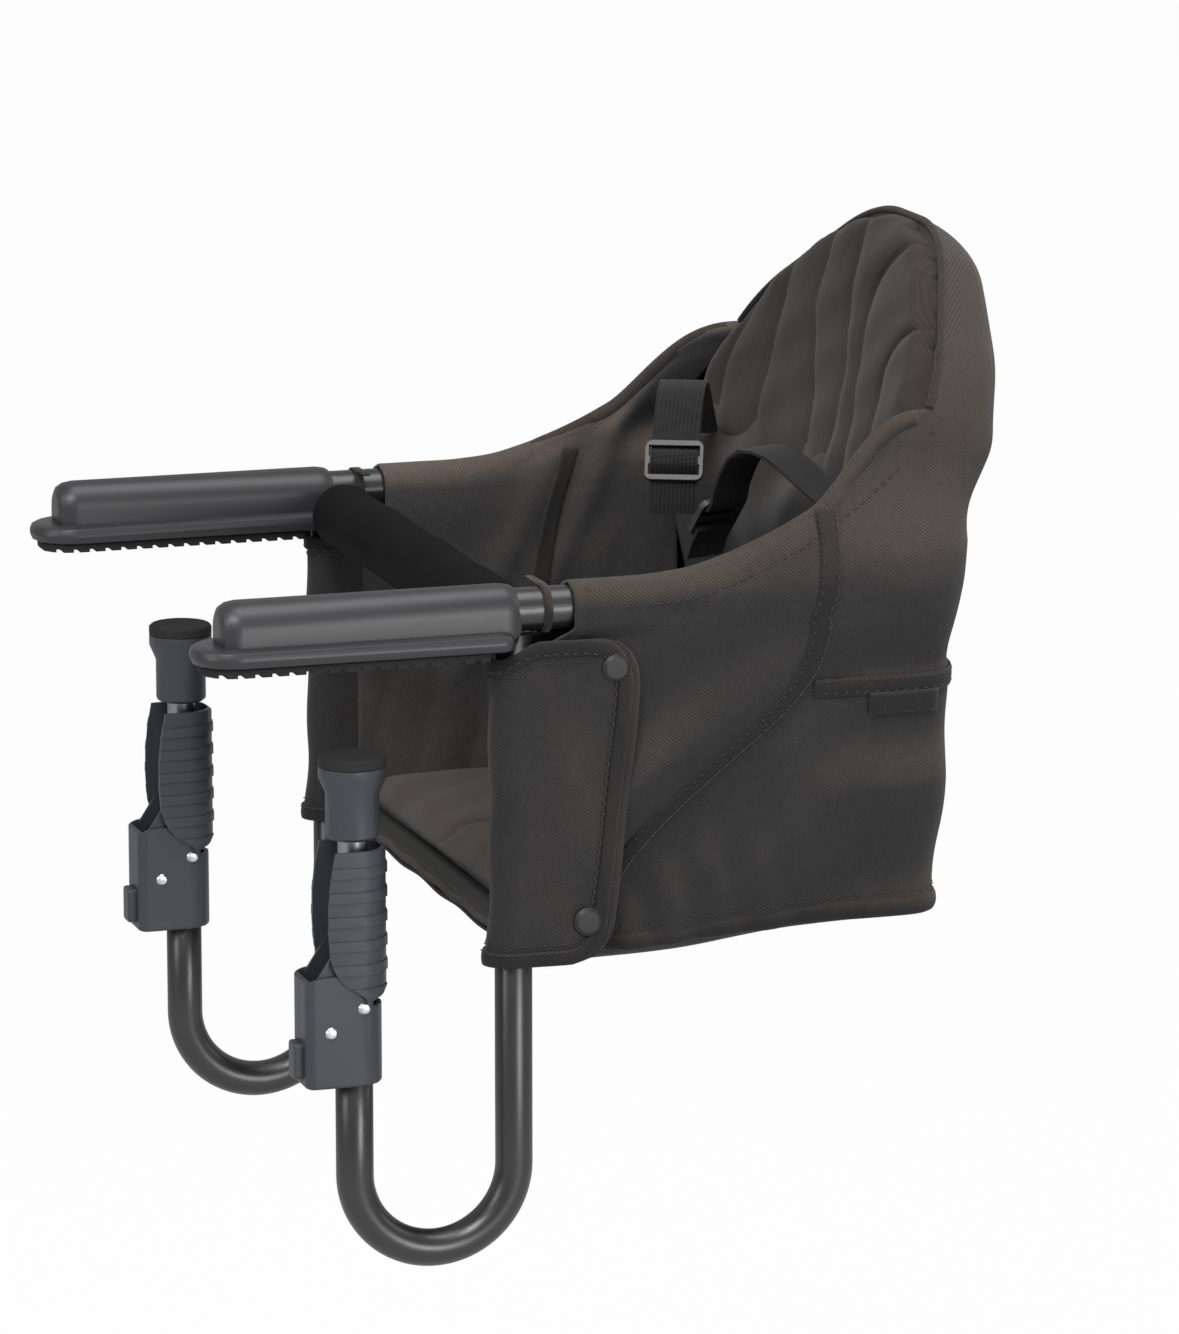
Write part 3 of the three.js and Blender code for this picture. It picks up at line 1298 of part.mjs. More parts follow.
const leftHarness = waistStrap(
  [anchorX, anchorY, anchorZ],
  [LEFT_SLIDER_ACROSS, LEFT_SLIDER_BACK, LEFT_SLIDER_HEIGHT],
  LEFT_ARCH,
  LEFT_SLOPE,
);
const rightHarness = waistStrap(
  [-anchorX, anchorY, anchorZ],
  [-RIGHT_SLIDER_ACROSS, RIGHT_SLIDER_BACK, RIGHT_SLIDER_HEIGHT],
  RIGHT_ARCH,
  RIGHT_SLOPE,
);
add('waist_strap_left', leftHarness.strap, webbingBlack);
add('waist_strap_right', rightHarness.strap, webbingBlack);
add('strap_slider_left', leftHarness.slider, sliderPlastic);
add('strap_slider_right', rightHarness.slider, sliderPlastic);

function crotchStrap() {
  const foot = seatPadBottom + SEAT_PAD + GAP;
  const knots = [[0, 0], [CROTCH_LEAN / 4, CROTCH_LENGTH * 0.4], [CROTCH_LEAN, CROTCH_LENGTH]];
  const points = knots.map(([along, height]) => new THREE.Vector2(along, foot + height));
  const curve = new THREE.SplineCurve(points);
  const strap = prism(ribbonShape(curve.getPoints(8)), 'z', -WEBBING_WIDTH / 2, WEBBING_WIDTH);
  return inPlane(strap, [0, CROTCH_FRONT], Math.PI / 2);
}

function buckle() {
  const foot = seatPadBottom + SEAT_PAD + GAP + CROTCH_LENGTH + CUT;
  const outline = roundedRectangle(BUCKLE_HEIGHT, BUCKLE_WIDTH, BUCKLE_CORNER);
  const body = prism(outline, 'y', -BUCKLE_THICKNESS / 2, BUCKLE_THICKNESS, {
    size: BUCKLE_ROUND,
    steps: 2,
    curve: 4,
  });
  return body.translate(0, CROTCH_FRONT + CROTCH_LEAN + CUT, foot + BUCKLE_HEIGHT / 2);
}

add('crotch_strap', crotchStrap(), webbingBlack);
add('harness_buckle', buckle(), sliderPlastic);

export default part;
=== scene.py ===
"""Looks of a hook-on table chair: tubes, mouldings, twill seat, padding, webbing and stitching."""

import math

import bmesh
import bpy
from bpy.props import FloatProperty, FloatVectorProperty, PointerProperty
from mathutils import Matrix, Vector


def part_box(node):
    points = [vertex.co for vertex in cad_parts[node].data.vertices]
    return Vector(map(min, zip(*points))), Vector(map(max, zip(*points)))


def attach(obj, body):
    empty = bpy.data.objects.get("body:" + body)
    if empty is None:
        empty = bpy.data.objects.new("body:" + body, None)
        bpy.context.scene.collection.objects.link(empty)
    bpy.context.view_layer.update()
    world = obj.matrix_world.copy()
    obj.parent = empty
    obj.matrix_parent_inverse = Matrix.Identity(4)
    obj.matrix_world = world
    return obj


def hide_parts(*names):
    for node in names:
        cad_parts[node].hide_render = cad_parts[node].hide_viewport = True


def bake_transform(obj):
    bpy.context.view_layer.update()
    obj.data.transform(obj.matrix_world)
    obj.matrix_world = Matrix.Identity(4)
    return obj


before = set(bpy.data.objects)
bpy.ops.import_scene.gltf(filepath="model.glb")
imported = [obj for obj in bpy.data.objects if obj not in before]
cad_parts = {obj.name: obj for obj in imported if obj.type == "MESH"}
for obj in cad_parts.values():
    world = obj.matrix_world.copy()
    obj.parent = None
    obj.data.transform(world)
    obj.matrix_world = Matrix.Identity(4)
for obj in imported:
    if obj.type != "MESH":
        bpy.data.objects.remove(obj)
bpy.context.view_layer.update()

bl_info = {
    "name": "Hook-on table chair",
    "version": (1, 0, 0),
    "blender": (4, 5, 0),
    "location": "View3D > Sidebar > Table chair",
    "description": "Dresses the chair's frame with cloth, padding, webbing and finishes",
    "category": "Object",
}

MM = 0.001
SIDES = {"left": 1, "right": -1}

# Places taken from the frame, in millimetres
ARM_X = 168.0
RAIL_Z = 22.0
RAIL_RADIUS = 11.0
HOOK_RADIUS = 9.5
HOOK_BACK = 12.5
HOOK_SPAN = 83.5
HOOK_DEPTH = 313.0
HOOK_TOP = 166.0
HINGE_Y = 222.0
HOOP_HALF = 140.0
HOOP_HEIGHT = 158.0
HOOP_SHOULDER = 85.0
HOOP_CROWN = 42.0
HOOP_BEND = 85.0
BACK_LEAN = math.radians(20)
BACK_BOW = 14.0
BACK_MARGIN = 15.0
BACK_WAIST = 5.0
BACK_START = 17.0
BACK_TOP = HOOP_HEIGHT + BACK_MARGIN
SEAT_BOTTOM = -150.0
WAIST = -20.0

# Where the back pad's weave turns round its edge, in metres
PAD_FRONT = 0.214
PAD_ROLL = (0.085, 0.130)


# Small sums


def mix(a, b, share):
    return a + (b - a) * share


def smooth(low, high, value):
    share = min(1.0, max(0.0, (value - low) / (high - low)))
    return share * share * (3 - 2 * share)


def slope(points, k):
    before = points[max(k - 1, 0)]
    after = points[min(k + 1, len(points) - 1)]
    return (after[1] - before[1]) / (after[0] - before[0])


def through(points, at):
    """Height of a smooth line through (place, height) points."""
    if at <= points[0][0]:
        return points[0][1]
    if at >= points[-1][0]:
        return points[-1][1]
    k = next(i for i in range(len(points) - 1) if at <= points[i + 1][0])
    (a, low), (b, high) = points[k], points[k + 1]
    span = b - a
    share = (at - a) / span
    leave = slope(points, k) * span * share * (1 - share) ** 2
    arrive = slope(points, k + 1) * span * share**2 * (share - 1)
    return mix(low, high, smooth(0, 1, share)) + leave + arrive


def wave(place, length, phase=0.0):
    return math.sin(math.tau * place / length + phase)


def eased(share):
    """A share of the way that slows down towards its end."""
    return math.sin(share * math.pi / 2)


def rounded(value):
    """Falls from 1 to 0 like a quarter of a circle."""
    return math.sqrt(max(0.0, 1 - value))


def hump(off, width):
    return math.exp(-((off / width) ** 2))


def mirrored(spot, sign):
    return Vector((sign * spot.x, spot.y, spot.z))


# Settings


def tone(name, about, value):
    return FloatVectorProperty(name=name, description=about, subtype="COLOR", size=3, default=value)


def measure(name, about, value):
    return FloatProperty(name=name, description=about, unit="LENGTH", default=value)


class FabricLook(bpy.types.PropertyGroup):
    charcoal: tone("Charcoal", "Twill in shade", (0.026, 0.026, 0.0275))
    # Painted top light: this lighter, browner twill colour is laid on faces that look up or back,
    # standing in for light from above
    painted_top_light: tone("Warm charcoal", "Twill on faces that look up", (0.053, 0.043, 0.0355))
    thread: tone("Thread", "Stitching", (0.020, 0.020, 0.021))
    webbing: tone("Webbing", "Harness straps", (0.007, 0.007, 0.007))
    weave: measure("Weave", "Twill line spacing", 0.0019)
    wrinkle: measure("Wrinkle", "Depth of the folds", 0.0040)


class HardwareLook(bpy.types.PropertyGroup):
    tube: tone("Tube", "Powder coat", (0.009, 0.009, 0.0095))
    cover: tone("Arm cover", "Satin moulding", (0.025, 0.025, 0.0275))
    clamp: tone("Clamp", "Blue-grey moulding", (0.031, 0.033, 0.041))
    steel: tone("Rivet", "Plated steel", (0.62, 0.63, 0.64))
    foam: tone("Foam", "Crossbar sleeve", (0.0055, 0.0055, 0.0058))


class ClothSizes(bpy.types.PropertyGroup):
    cloth: measure("Cloth", "Cloth thickness", 0.0016)
    binding: measure("Binding", "Width of a bound edge", 0.0075)
    piping: measure("Piping", "Diameter of the piping", 0.0042)
    stitch: measure("Stitch", "Length of a stitch", 0.0034)
    swell: measure("Swell", "Most that a pad swells", 0.006)


# Materials


class Number:
    """A number that changes over a surface; sums on it add Math nodes."""

    def __init__(self, nodes, socket):
        self.nodes = nodes
        self.socket = socket

    def __add__(self, other):
        return self.nodes.math("ADD", self, other)

    def __sub__(self, other):
        return self.nodes.math("SUBTRACT", self, other)

    def __rsub__(self, other):
        return self.nodes.math("SUBTRACT", other, self)

    def __mul__(self, other):
        return self.nodes.math("MULTIPLY", self, other)

    __radd__ = __add__
    __rmul__ = __mul__


class Nodes:
    """A node tree, with short ways to add to it."""

    def __init__(self, tree):
        self.tree = tree

    def node(self, kind, values=None, **settings):
        made = self.tree.nodes.new(kind)
        for key, value in settings.items():
            setattr(made, key, value)
        for key, value in (values or {}).items():
            self.feed(made.inputs[key], value)
        return made

    def feed(self, socket, value):
        if isinstance(value, Number):
            self.tree.links.new(value.socket, socket)
        elif isinstance(value, bpy.types.NodeSocket):
            self.tree.links.new(value, socket)
        elif socket.type == "RGBA" and len(value) == 3:
            socket.default_value = (*value, 1)
        else:
            socket.default_value = value

    def math(self, operation, *terms):
        made = self.node("ShaderNodeMath", dict(enumerate(terms)), operation=operation)
        return Number(self, made.outputs[0])

    def seen(self, reflected):
        """1 where the camera looks straight at it, and a share of that in reflections."""
        rays = self.node("ShaderNodeLightPath").outputs
        glossy = Number(self, rays["Is Glossy Ray"]) * reflected
        return self.math("MAXIMUM", Number(self, rays["Is Camera Ray"]), glossy)

    def show(self, under, over, share, output):
        """Lays one shader over another by a share and sends both to the output."""
        both = self.node("ShaderNodeMixShader", {0: share, 1: under.outputs[0], 2: over.outputs[0]})
        self.tree.links.new(both.outputs[0], self.tree.nodes[output].inputs["Surface"])


class Finish(Nodes):
    """One material and the nodes it is made of."""

    INPUTS = {
        "colour": "Base Color", "roughness": "Roughness", "metal": "Metallic", "normal": "Normal",
        "sheen": "Sheen Weight", "sheen_rough": "Sheen Roughness", "specular": "Specular IOR Level",
    }

    def __init__(self, name):
        self.material = bpy.data.materials.new(name)
        self.material.use_nodes = True
        super().__init__(self.material.node_tree)
        self.shader = self.tree.nodes["Principled BSDF"]
        self.place = self.node("ShaderNodeTexCoord").outputs["Object"]

    def axes(self, place=None):
        split = self.node("ShaderNodeSeparateXYZ", {0: place or self.place})
        return [Number(self, split.outputs[k]) for k in range(3)]

    def turned(self, angle):
        made = self.node("ShaderNodeMapping", {"Vector": self.place, "Rotation": (0, 0, angle)})
        return made.outputs["Vector"]

    def noise(self, scale, detail=3.0, rough=0.5, place=None):
        made = self.node("ShaderNodeTexNoise", {
            "Vector": place or self.place, "Scale": scale, "Detail": detail, "Roughness": rough,
        })
        return Number(self, made.outputs[0])

    def step(self, low, high, value):
        made = self.node(
            "ShaderNodeMapRange", {"Value": value, "From Min": low, "From Max": high},
            interpolation_type="SMOOTHSTEP",
        )
        return Number(self, made.outputs[0])

    def ribs(self, place, pitch):
        """Ridges from 0 to 1 across a place; pitch is their turn per metre."""
        return self.math("SINE", place * pitch) * 0.5 + 0.5

    def blend(self, a, b, share, kind="MIX"):
        made = self.node("ShaderNodeMix", {0: share, 6: a, 7: b}, data_type="RGBA", blend_type=kind)
        return made.outputs[2]

    def bump(self, height, distance, strength=1.0):
        made = self.node("ShaderNodeBump", {"Height": height, "Distance": distance, "Strength": strength})
        return made.outputs["Normal"]

    def surface(self, **values):
        for key, value in values.items():
            self.feed(self.shader.inputs[self.INPUTS[key]], value)
        return self.material


def lighter(colour, factor):
    return tuple(min(1.0, c * factor) for c in colour)


def twill(name, look, share=1.0, rolled=False):
    """Diagonal weave, lighter and browner where the cloth looks up or back, which is painted top light;
    rolled bends it round the back pad's edge.
    """
    # The first number is where the painted top light begins to show
    top_light_start, rib_share, least, relief = (-0.6, 0.25, 0.39, 0.4) if rolled else (-0.22, 0.55, 0.24, 0.8)
    f = Finish(name)
    x, y, z = f.axes()
    normal = f.node("ShaderNodeNewGeometry").outputs["Normal"]
    sideways, backward, up = f.axes(normal)
    if rolled:
        depth = y - z * math.tan(BACK_LEAN) - PAD_FRONT
        around = x + depth * (f.step(*PAD_ROLL, x) - f.step(*PAD_ROLL, x * -1.0))
        along = z
    else:
        facing = f.math("GREATER_THAN", f.math("ABSOLUTE", sideways), f.math("ABSOLUTE", backward))
        flat = f.math("GREATER_THAN", f.math("ABSOLUTE", up), 0.75)
        around = x + (y - x) * facing * (1 - flat)
        along = z + (y - z) * flat
    pitch = math.tau / look.weave
    rib = f.ribs(around * 0.75 + along, pitch)
    cross = f.ribs(around - along * 1.3, pitch * 1.7)
    fuzz = f.noise(1500.0, 2.0)
    cloud = f.noise(14.0, 3.0)
    slub = f.noise(260.0, 2.0)
    # Painted top light: share of the lighter, browner colour, rising where the face looks up or back,
    # with a random cloud
    painted_top_light = f.step(top_light_start, 0.62, up + backward * 0.2 + (cloud - 0.5) * 0.5)
    body = f.blend(lighter(look.charcoal, share), lighter(look.painted_top_light, share), painted_top_light)
    shade = rib * rib_share + cross * 0.12 + slub * 0.36 + cloud * 0.36 + least
    grey = f.node("ShaderNodeCombineColor", {0: shade, 1: shade, 2: shade}).outputs[0]
    height = rib * 0.6 + cross * 0.25 + fuzz * 0.35
    return f.surface(
        colour=f.blend(body, grey, 1.0, "MULTIPLY"), roughness=0.86 + fuzz * 0.1,
        normal=f.bump(height, 0.00035, relief), sheen=0.12, sheen_rough=0.5, specular=0.10,
    )


def ribbed_webbing(name, look, angle):
    """Ribs along the strap and fine threads across them; angle turns the ribs to the strap's heading."""
    f = Finish(name)
    x, y, z = f.axes(f.turned(-angle))
    ribs = f.ribs(y, math.tau / 0.0022)
    threads = f.ribs(x + z, math.tau / 0.0011)
    fuzz = f.noise(1800.0, 2.0)
    share = ribs * 0.5 + threads * 0.3 + fuzz * 0.3
    colour = f.blend(lighter(look.webbing, 0.6), lighter(look.webbing, 2.6), share)
    height = ribs * 0.7 + threads * 0.3 + fuzz * 0.2
    return f.surface(
        colour=colour, roughness=0.62 + fuzz * 0.2, normal=f.bump(height, 0.0004),
        sheen=0.1, specular=0.15,
    )


def powder_coat(name, colour):
    """Black paint with a faint orange peel and duller patches."""
    f = Finish(name)
    peel = f.noise(700.0, 2.0)
    cloud = f.noise(18.0, 3.0)
    return f.surface(
        colour=f.blend(lighter(colour, 0.85), lighter(colour, 1.35), cloud),
        roughness=0.24 + cloud * 0.12 + peel * 0.05, normal=f.bump(peel, 0.00006, 0.6), specular=0.7,
    )


def moulding(name, colour, grain, roughness):
    """Moulded plastic with a fine spark-eroded grain."""
    f = Finish(name)
    fine = f.noise(grain, 3.0, 0.6)
    cloud = f.noise(22.0, 3.0)
    scuff = f.step(0.62, 0.8, f.noise(90.0, 4.0, 0.7))
    tone = cloud * 0.5 + fine * 0.3 + scuff * 0.2
    return f.surface(
        colour=f.blend(lighter(colour, 0.82), lighter(colour, 1.3), tone),
        roughness=roughness - 0.06 + fine * 0.12 + scuff * 0.08, normal=f.bump(fine, 0.00008, 0.7),
        specular=0.45,
    )


def rubber(name, colour):
    f = Finish(name)
    fine = f.noise(1100.0, 3.0)
    dust = f.step(0.5, 0.8, f.noise(60.0, 4.0, 0.7))
    return f.surface(
        colour=f.blend(colour, lighter(colour, 2.2), dust * 0.5 + fine * 0.3),
        roughness=0.72 + fine * 0.15, normal=f.bump(fine, 0.00012), specular=0.3,
    )


def plated_steel(name, colour, roughness):
    f = Finish(name)
    x, y, z = f.axes()
    stretched = f.node("ShaderNodeCombineXYZ", {0: x * 40.0, 1: y, 2: z}).outputs[0]
    lines = f.noise(160.0, 3.0, 0.6, stretched)
    stain = f.step(0.55, 0.8, f.noise(220.0, 3.0))
    return f.surface(
        colour=f.blend(colour, lighter(colour, 0.6), stain * 0.6 + lines * 0.2), metal=1.0,
        roughness=roughness + lines * 0.12, normal=f.bump(lines, 0.00003, 0.5),
    )


def closed_cell_foam(name, colour):
    f = Finish(name)
    cells = f.node("ShaderNodeTexVoronoi", {"Vector": f.place, "Scale": 1300.0})
    cell = Number(f, cells.outputs["Distance"])
    cloud = f.noise(30.0, 3.0)
    return f.surface(
        colour=f.blend(lighter(colour, 0.8), lighter(colour, 1.9), cloud * 0.7 + cell * 0.3),
        roughness=0.8 + cloud * 0.12, normal=f.bump(cell, 0.00025, 0.5), specular=0.05,
    )


FINISHES = {}

# The straps and the headings of their ribs
STRAPS = {
    "waist_strap_left": math.atan2(-0.455, -0.89),
    "waist_strap_right": math.atan2(-0.454, 0.891),
    "crotch_strap": math.pi / 2,
}


def finishes():
    """The chair's materials, made once."""
    if not FINISHES:
        fabric = bpy.context.scene.chair_fabric
        hardware = bpy.context.scene.chair_hardware
        FINISHES.update(
            twill=twill("charcoal_twill", fabric),
            dark_twill=twill("dark_twill", fabric, 0.8),
            # The back pad's twill is the same cloth at 0.68 of its brightness, painted shade, and shows
            # the painted top light from lower down
            pad_twill=twill("pad_twill", fabric, 0.68, True),
            # A copy of the twill 1.7 times as bright: painted light on the inner faces of the side cloth
            lining_twill=twill("lining_twill", fabric, 1.7),
            bias_tape=twill("bias_tape", fabric, 0.7),
            thread=moulding("sewing_thread", fabric.thread, 1600.0, 0.6),
            tube=powder_coat("black_powder_coat", hardware.tube),
            cover=moulding("arm_cover_moulding", hardware.cover, 900.0, 0.38),
            clamp=moulding("clamp_moulding", hardware.clamp, 1000.0, 0.44),
            slider=moulding("slider_moulding", (0.026, 0.024, 0.022), 900.0, 0.4),
            board=moulding("seat_board", (0.020, 0.019, 0.018), 500.0, 0.7),
            rubber=rubber("grip_rubber", (0.012, 0.012, 0.013)),
            steel=plated_steel("plated_steel", hardware.steel, 0.22),
            drawn=plated_steel("drawn_steel", (0.30, 0.31, 0.33), 0.3),
            foam=closed_cell_foam("closed_cell_foam", hardware.foam),
            snap=moulding("snap_enamel", (0.008, 0.008, 0.009), 700.0, 0.5),
        )
        for node, angle in STRAPS.items():
            FINISHES[f"webbing_{node}"] = ribbed_webbing(f"webbing_{node}", fabric, angle)
    return FINISHES


# Mesh helpers; shapes are drawn in millimetres


def scaled(bm, factor):
    bmesh.ops.scale(bm, vec=(factor, factor, factor), verts=bm.verts)
    return bm


def outward(bm):
    """Turns every face outwards."""
    bmesh.ops.recalc_face_normals(bm, faces=bm.faces)
    return bm


def area_of(bm):
    """Area of a drawn shape in square metres."""
    return sum(face.calc_area() for face in bm.faces) * MM * MM


def piece(name, bm, finish, body=None, replaces=(), thickness=0.0):
    """Turns a drawn shape into a piece of the chair, in metres."""
    mesh = bpy.data.meshes.new(name)
    scaled(bm, MM).to_mesh(mesh)
    bm.free()
    mesh.polygons.foreach_set("use_smooth", [True] * len(mesh.polygons))
    mesh.materials.append(finishes()[finish])
    made = bpy.data.objects.new(name, mesh)
    bpy.context.scene.collection.objects.link(made)
    if thickness:
        wall = made.modifiers.new("cloth", "SOLIDIFY")
        wall.thickness = thickness
        wall.offset = 0.0
    if body:
        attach(made, body)
    if replaces:
        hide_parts(*replaces)
    return made


def grid(columns, rows, place):
    """A sheet of cells whose corners are moved to place(u, v)."""
    bm = bmesh.new()
    bmesh.ops.create_grid(bm, x_segments=columns, y_segments=rows, size=0.5, calc_uvs=True)
    for vert in bm.verts:
        vert.co = place(vert.co.x + 0.5, vert.co.y + 0.5)
    return bm


def closed(bm):
    """Merges doubled corners and turns every face outwards."""
    bmesh.ops.remove_doubles(bm, verts=bm.verts, dist=0.001)
    return outward(bm)


def bent(corners, radius, steps):
    """Points along straight runs whose corners are rounded."""
    points = [Vector(corners[0])]
    for before, at, after in zip(corners, corners[1:], corners[2:]):
        at = Vector(at)
        back = (Vector(before) - at).normalized()
        ahead = (Vector(after) - at).normalized()
        half = back.angle(ahead) / 2
        centre = at + (back + ahead).normalized() * (radius / math.sin(half))
        first = at + back * (radius / math.tan(half)) - centre
        last = at + ahead * (radius / math.tan(half)) - centre
        axis = first.cross(last).normalized()
        for k in range(steps + 1):
            turn = Matrix.Rotation(first.angle(last) * k / steps, 3, axis)
            spot = centre + turn @ first
            if (spot - points[-1]).length > 0.5:
                points.append(spot)
    points.append(Vector(corners[-1]))
    return points


def pipe(points, radius, sides, up=None, tall=1.0):
    """A section drawn along a line of points: round, or taller in the up direction."""
    bm = bmesh.new()
    last = len(points) - 1
    tangents = [(points[min(k + 1, last)] - points[max(k - 1, 0)]).normalized() for k in range(last + 1)]
    side = Vector(up) if up else tangents[0].orthogonal()
    rings = []
    for point, tangent in zip(points, tangents):
        side = (side - tangent * side.dot(tangent)).normalized()
        other = tangent.cross(side)
        spot = Matrix((side * tall, other, tangent)).transposed().to_4x4()
        spot.translation = point
        made = bmesh.ops.create_circle(bm, segments=sides, radius=radius, cap_ends=False, matrix=spot)
        rings.append(list(made["verts"]))
    for a, b in zip(rings, rings[1:]):
        for k in range(sides):
            bm.faces.new((a[k], a[(k + 1) % sides], b[(k + 1) % sides], b[k]))
    bm.faces.new(rings[0])
    bm.faces.new(rings[-1])
    return outward(bm)


def joined(*shapes):
    """One shape out of several, its shared edges merged."""
    whole = bmesh.new()
    mesh = bpy.data.meshes.new("joining")
    for shape in shapes:
        shape.to_mesh(mesh)
        shape.free()
        whole.from_mesh(mesh)
    bpy.data.meshes.remove(mesh)
    bmesh.ops.remove_doubles(whole, verts=whole.verts, dist=0.02)
    return whole


STITCH_STEP = 1.45
STITCH_WIDTH = 0.9
STITCH_HEIGHT = 0.4


def stitches(bm, points, normals, length):
    """A row of stitches along a line of points, lying on the cloth."""
    run = 0.0
    for k in range(len(points) - 1):
        step = points[k + 1] - points[k]
        run += step.length
        if run < length * STITCH_STEP:
            continue
        run = 0.0
        along = step.normalized()
        up = (normals[k] - along * normals[k].dot(along)).normalized()
        spot = Matrix((along, up.cross(along), up)).transposed().to_4x4()
        spot.translation = points[k] + up * 0.15
        size = Matrix.Diagonal((length / 2, STITCH_WIDTH / 2, STITCH_HEIGHT, 1))
        bmesh.ops.create_icosphere(bm, subdivisions=1, radius=1.0, matrix=spot @ size)


def dense(points, spacing=0.5):
    """The same line with points close together."""
    line = [points[0]]
    for a, b in zip(points, points[1:]):
        count = max(1, int((b - a).length / spacing))
        line += [a.lerp(b, (k + 1) / count) for k in range(count)]
    return line


def node_copy(node):
    """A merged copy of a frame piece's mesh, in millimetres."""
    bm = bmesh.new()
    bm.from_mesh(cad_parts[node].data)
    scaled(bm, 1 / MM)
    bmesh.ops.remove_doubles(bm, verts=bm.verts, dist=0.002)
    return bm


# Backrest: across, up along the lean, and behind the hoop


def leaned(x, rise, out):
    y = HINGE_Y + rise * math.sin(BACK_LEAN) + out * math.cos(BACK_LEAN)
    z = RAIL_Z + rise * math.cos(BACK_LEAN) - out * math.sin(BACK_LEAN)
    return Vector((x, y, z))


def bow(x, rise):
    return BACK_BOW * mix(0.4, 1.0, smooth(0, HOOP_SHOULDER, rise)) * (1 - (x / HOOP_HALF) ** 2)


def on_back(x, rise, behind):
    return leaned(x, rise, behind + bow(x, rise))


def arch(margin):
    """Half of the backrest's outline as (across, up), from its foot to its middle."""
    across = HOOP_HALF - HOOP_CROWN
    up = HOOP_HEIGHT - HOOP_SHOULDER
    slant = math.hypot(across, up)
    shoulder = HOOP_SHOULDER + margin * (slant - up) / across
    crown = HOOP_CROWN + margin * (slant - across) / up
    wide = HOOP_HALF + margin
    high = HOOP_HEIGHT + margin
    corners = [(wide, 0, 0), (wide, shoulder, 0), (crown, high, 0), (0, high, 0)]
    return bent(corners, HOOP_BEND + margin, 20)


OUTLINE = arch(BACK_MARGIN)


def back_half(rise):
    """Half width of the backrest at a height along its lean."""
    waist = BACK_WAIST * (1 - smooth(BACK_START, HOOP_SHOULDER, rise))
    for a, b in zip(OUTLINE, OUTLINE[1:]):
        if a.y < b.y and rise <= b.y:
            return mix(a.x, b.x, (rise - a.y) / (b.y - a.y)) - waist
    return OUTLINE[-2].x


# Forms of the cloth, in millimetres


# Lines as (place, height) points: the side's hem, the rear below the join and the rear above it
HEM = [
    (24, 34.8), (62, 34.8), (86, 35.2), (111, 38.5), (153, 53.0), (196, 76.0), (221, 92.5), (241, 107.0),
]
SLEEVE = 13.0
CORNER_Y = 208.0
JOIN = 86.0
JOIN_Z = RAIL_Z + JOIN * math.cos(BACK_LEAN)
SEAM_OUT = -10.0
REAR_LOW = [(-150, 250), (-100, 251.5), (-22, 253), (0, 256), (41, 265)]
REAR_HIGH = [(0, 48), (36, 46), (75, 41), (90, 38), (116, 35), (149, 32)]


def lowered(z):
    return max(0.0, (WAIST - z) / (WAIST - SEAT_BOTTOM)) ** 2


def side_front(z):
    """Front edge of the side cloth: the sleeve starts behind the flap's top."""
    return mix(25.0, 41.0, smooth(3, 14, z))


def lower_edge(y):
    """The side cloth's lower edge hangs a little towards the front."""
    return SEAT_BOTTOM - 6.0 * smooth(200, 70, y)


def wing_line(y):
    return -7.0 * min(1.0, max(0.0, (y - 66) / 180))


def folds(y, z):
    """Soft folds of the hanging side cloth, most of them rising towards the rear."""
    hang = smooth(22, -50, z)
    pull = 0.9 - 1.5 * abs(wave(z * 0.85 - y * 0.5, 150, 0.9)) ** 1.4
    pull += 0.4 * wave(z * 0.7 - y * 0.75, 53, 2.1)
    ripple = 0.3 * wave(y + 0.3 * z, 26, 1.0) * smooth(-80, -140, z)
    pucker = 0.22 * wave(y, 17 + 4 * wave(y, 90), 0.4) * smooth(20, 5, abs(z - through(HEM, y)))
    drag = 0.8 * wave(z * 0.8 - y * 0.62, 58, 0.3)
    drag *= smooth(120, 190, y) * smooth(-70, -30, z) * smooth(10, -20, z)
    return pull * hang + ripple + pucker * smooth(60, 100, y) + drag


def over_rail(y, z, near, top):
    """The cloth's run from beside the rail up to its hem: round the rail in front, taut behind."""
    tall = max(through(HEM, y) - RAIL_Z, SLEEVE)
    climb = min(1.0, (z - RAIL_Z) / tall)
    power = mix(2.0, 1.35, smooth(SLEEVE, 45, tall))
    return mix(top, near, (1 - climb**power) ** (1 / power))


def side_outer(y, z):
    """Outer face of the side cloth, as the distance out from the side frame's plane."""
    wall = 8.0 - 16.0 * lowered(z)
    face = mix(wall, SLEEVE, smooth(-45, 20, z))
    if z > RAIL_Z:
        face = over_rail(y, z, SLEEVE, wing_line(y) + 1.0)
    face = mix(face, min(face, 8.4), smooth(88, 68, y) * smooth(14, 7, z))
    pocket = 1.3 * smooth(-18, -22, z + 0.1 * (y - 200)) * smooth(-2, 3, seam_side(y, z))
    hinge = 2.6 * math.exp(-((y - HINGE_Y) ** 2 + (z - RAIL_Z) ** 2) / 500)
    return face + pocket + hinge + folds(y, z) * bpy.context.scene.chair_fabric.wrinkle / MM


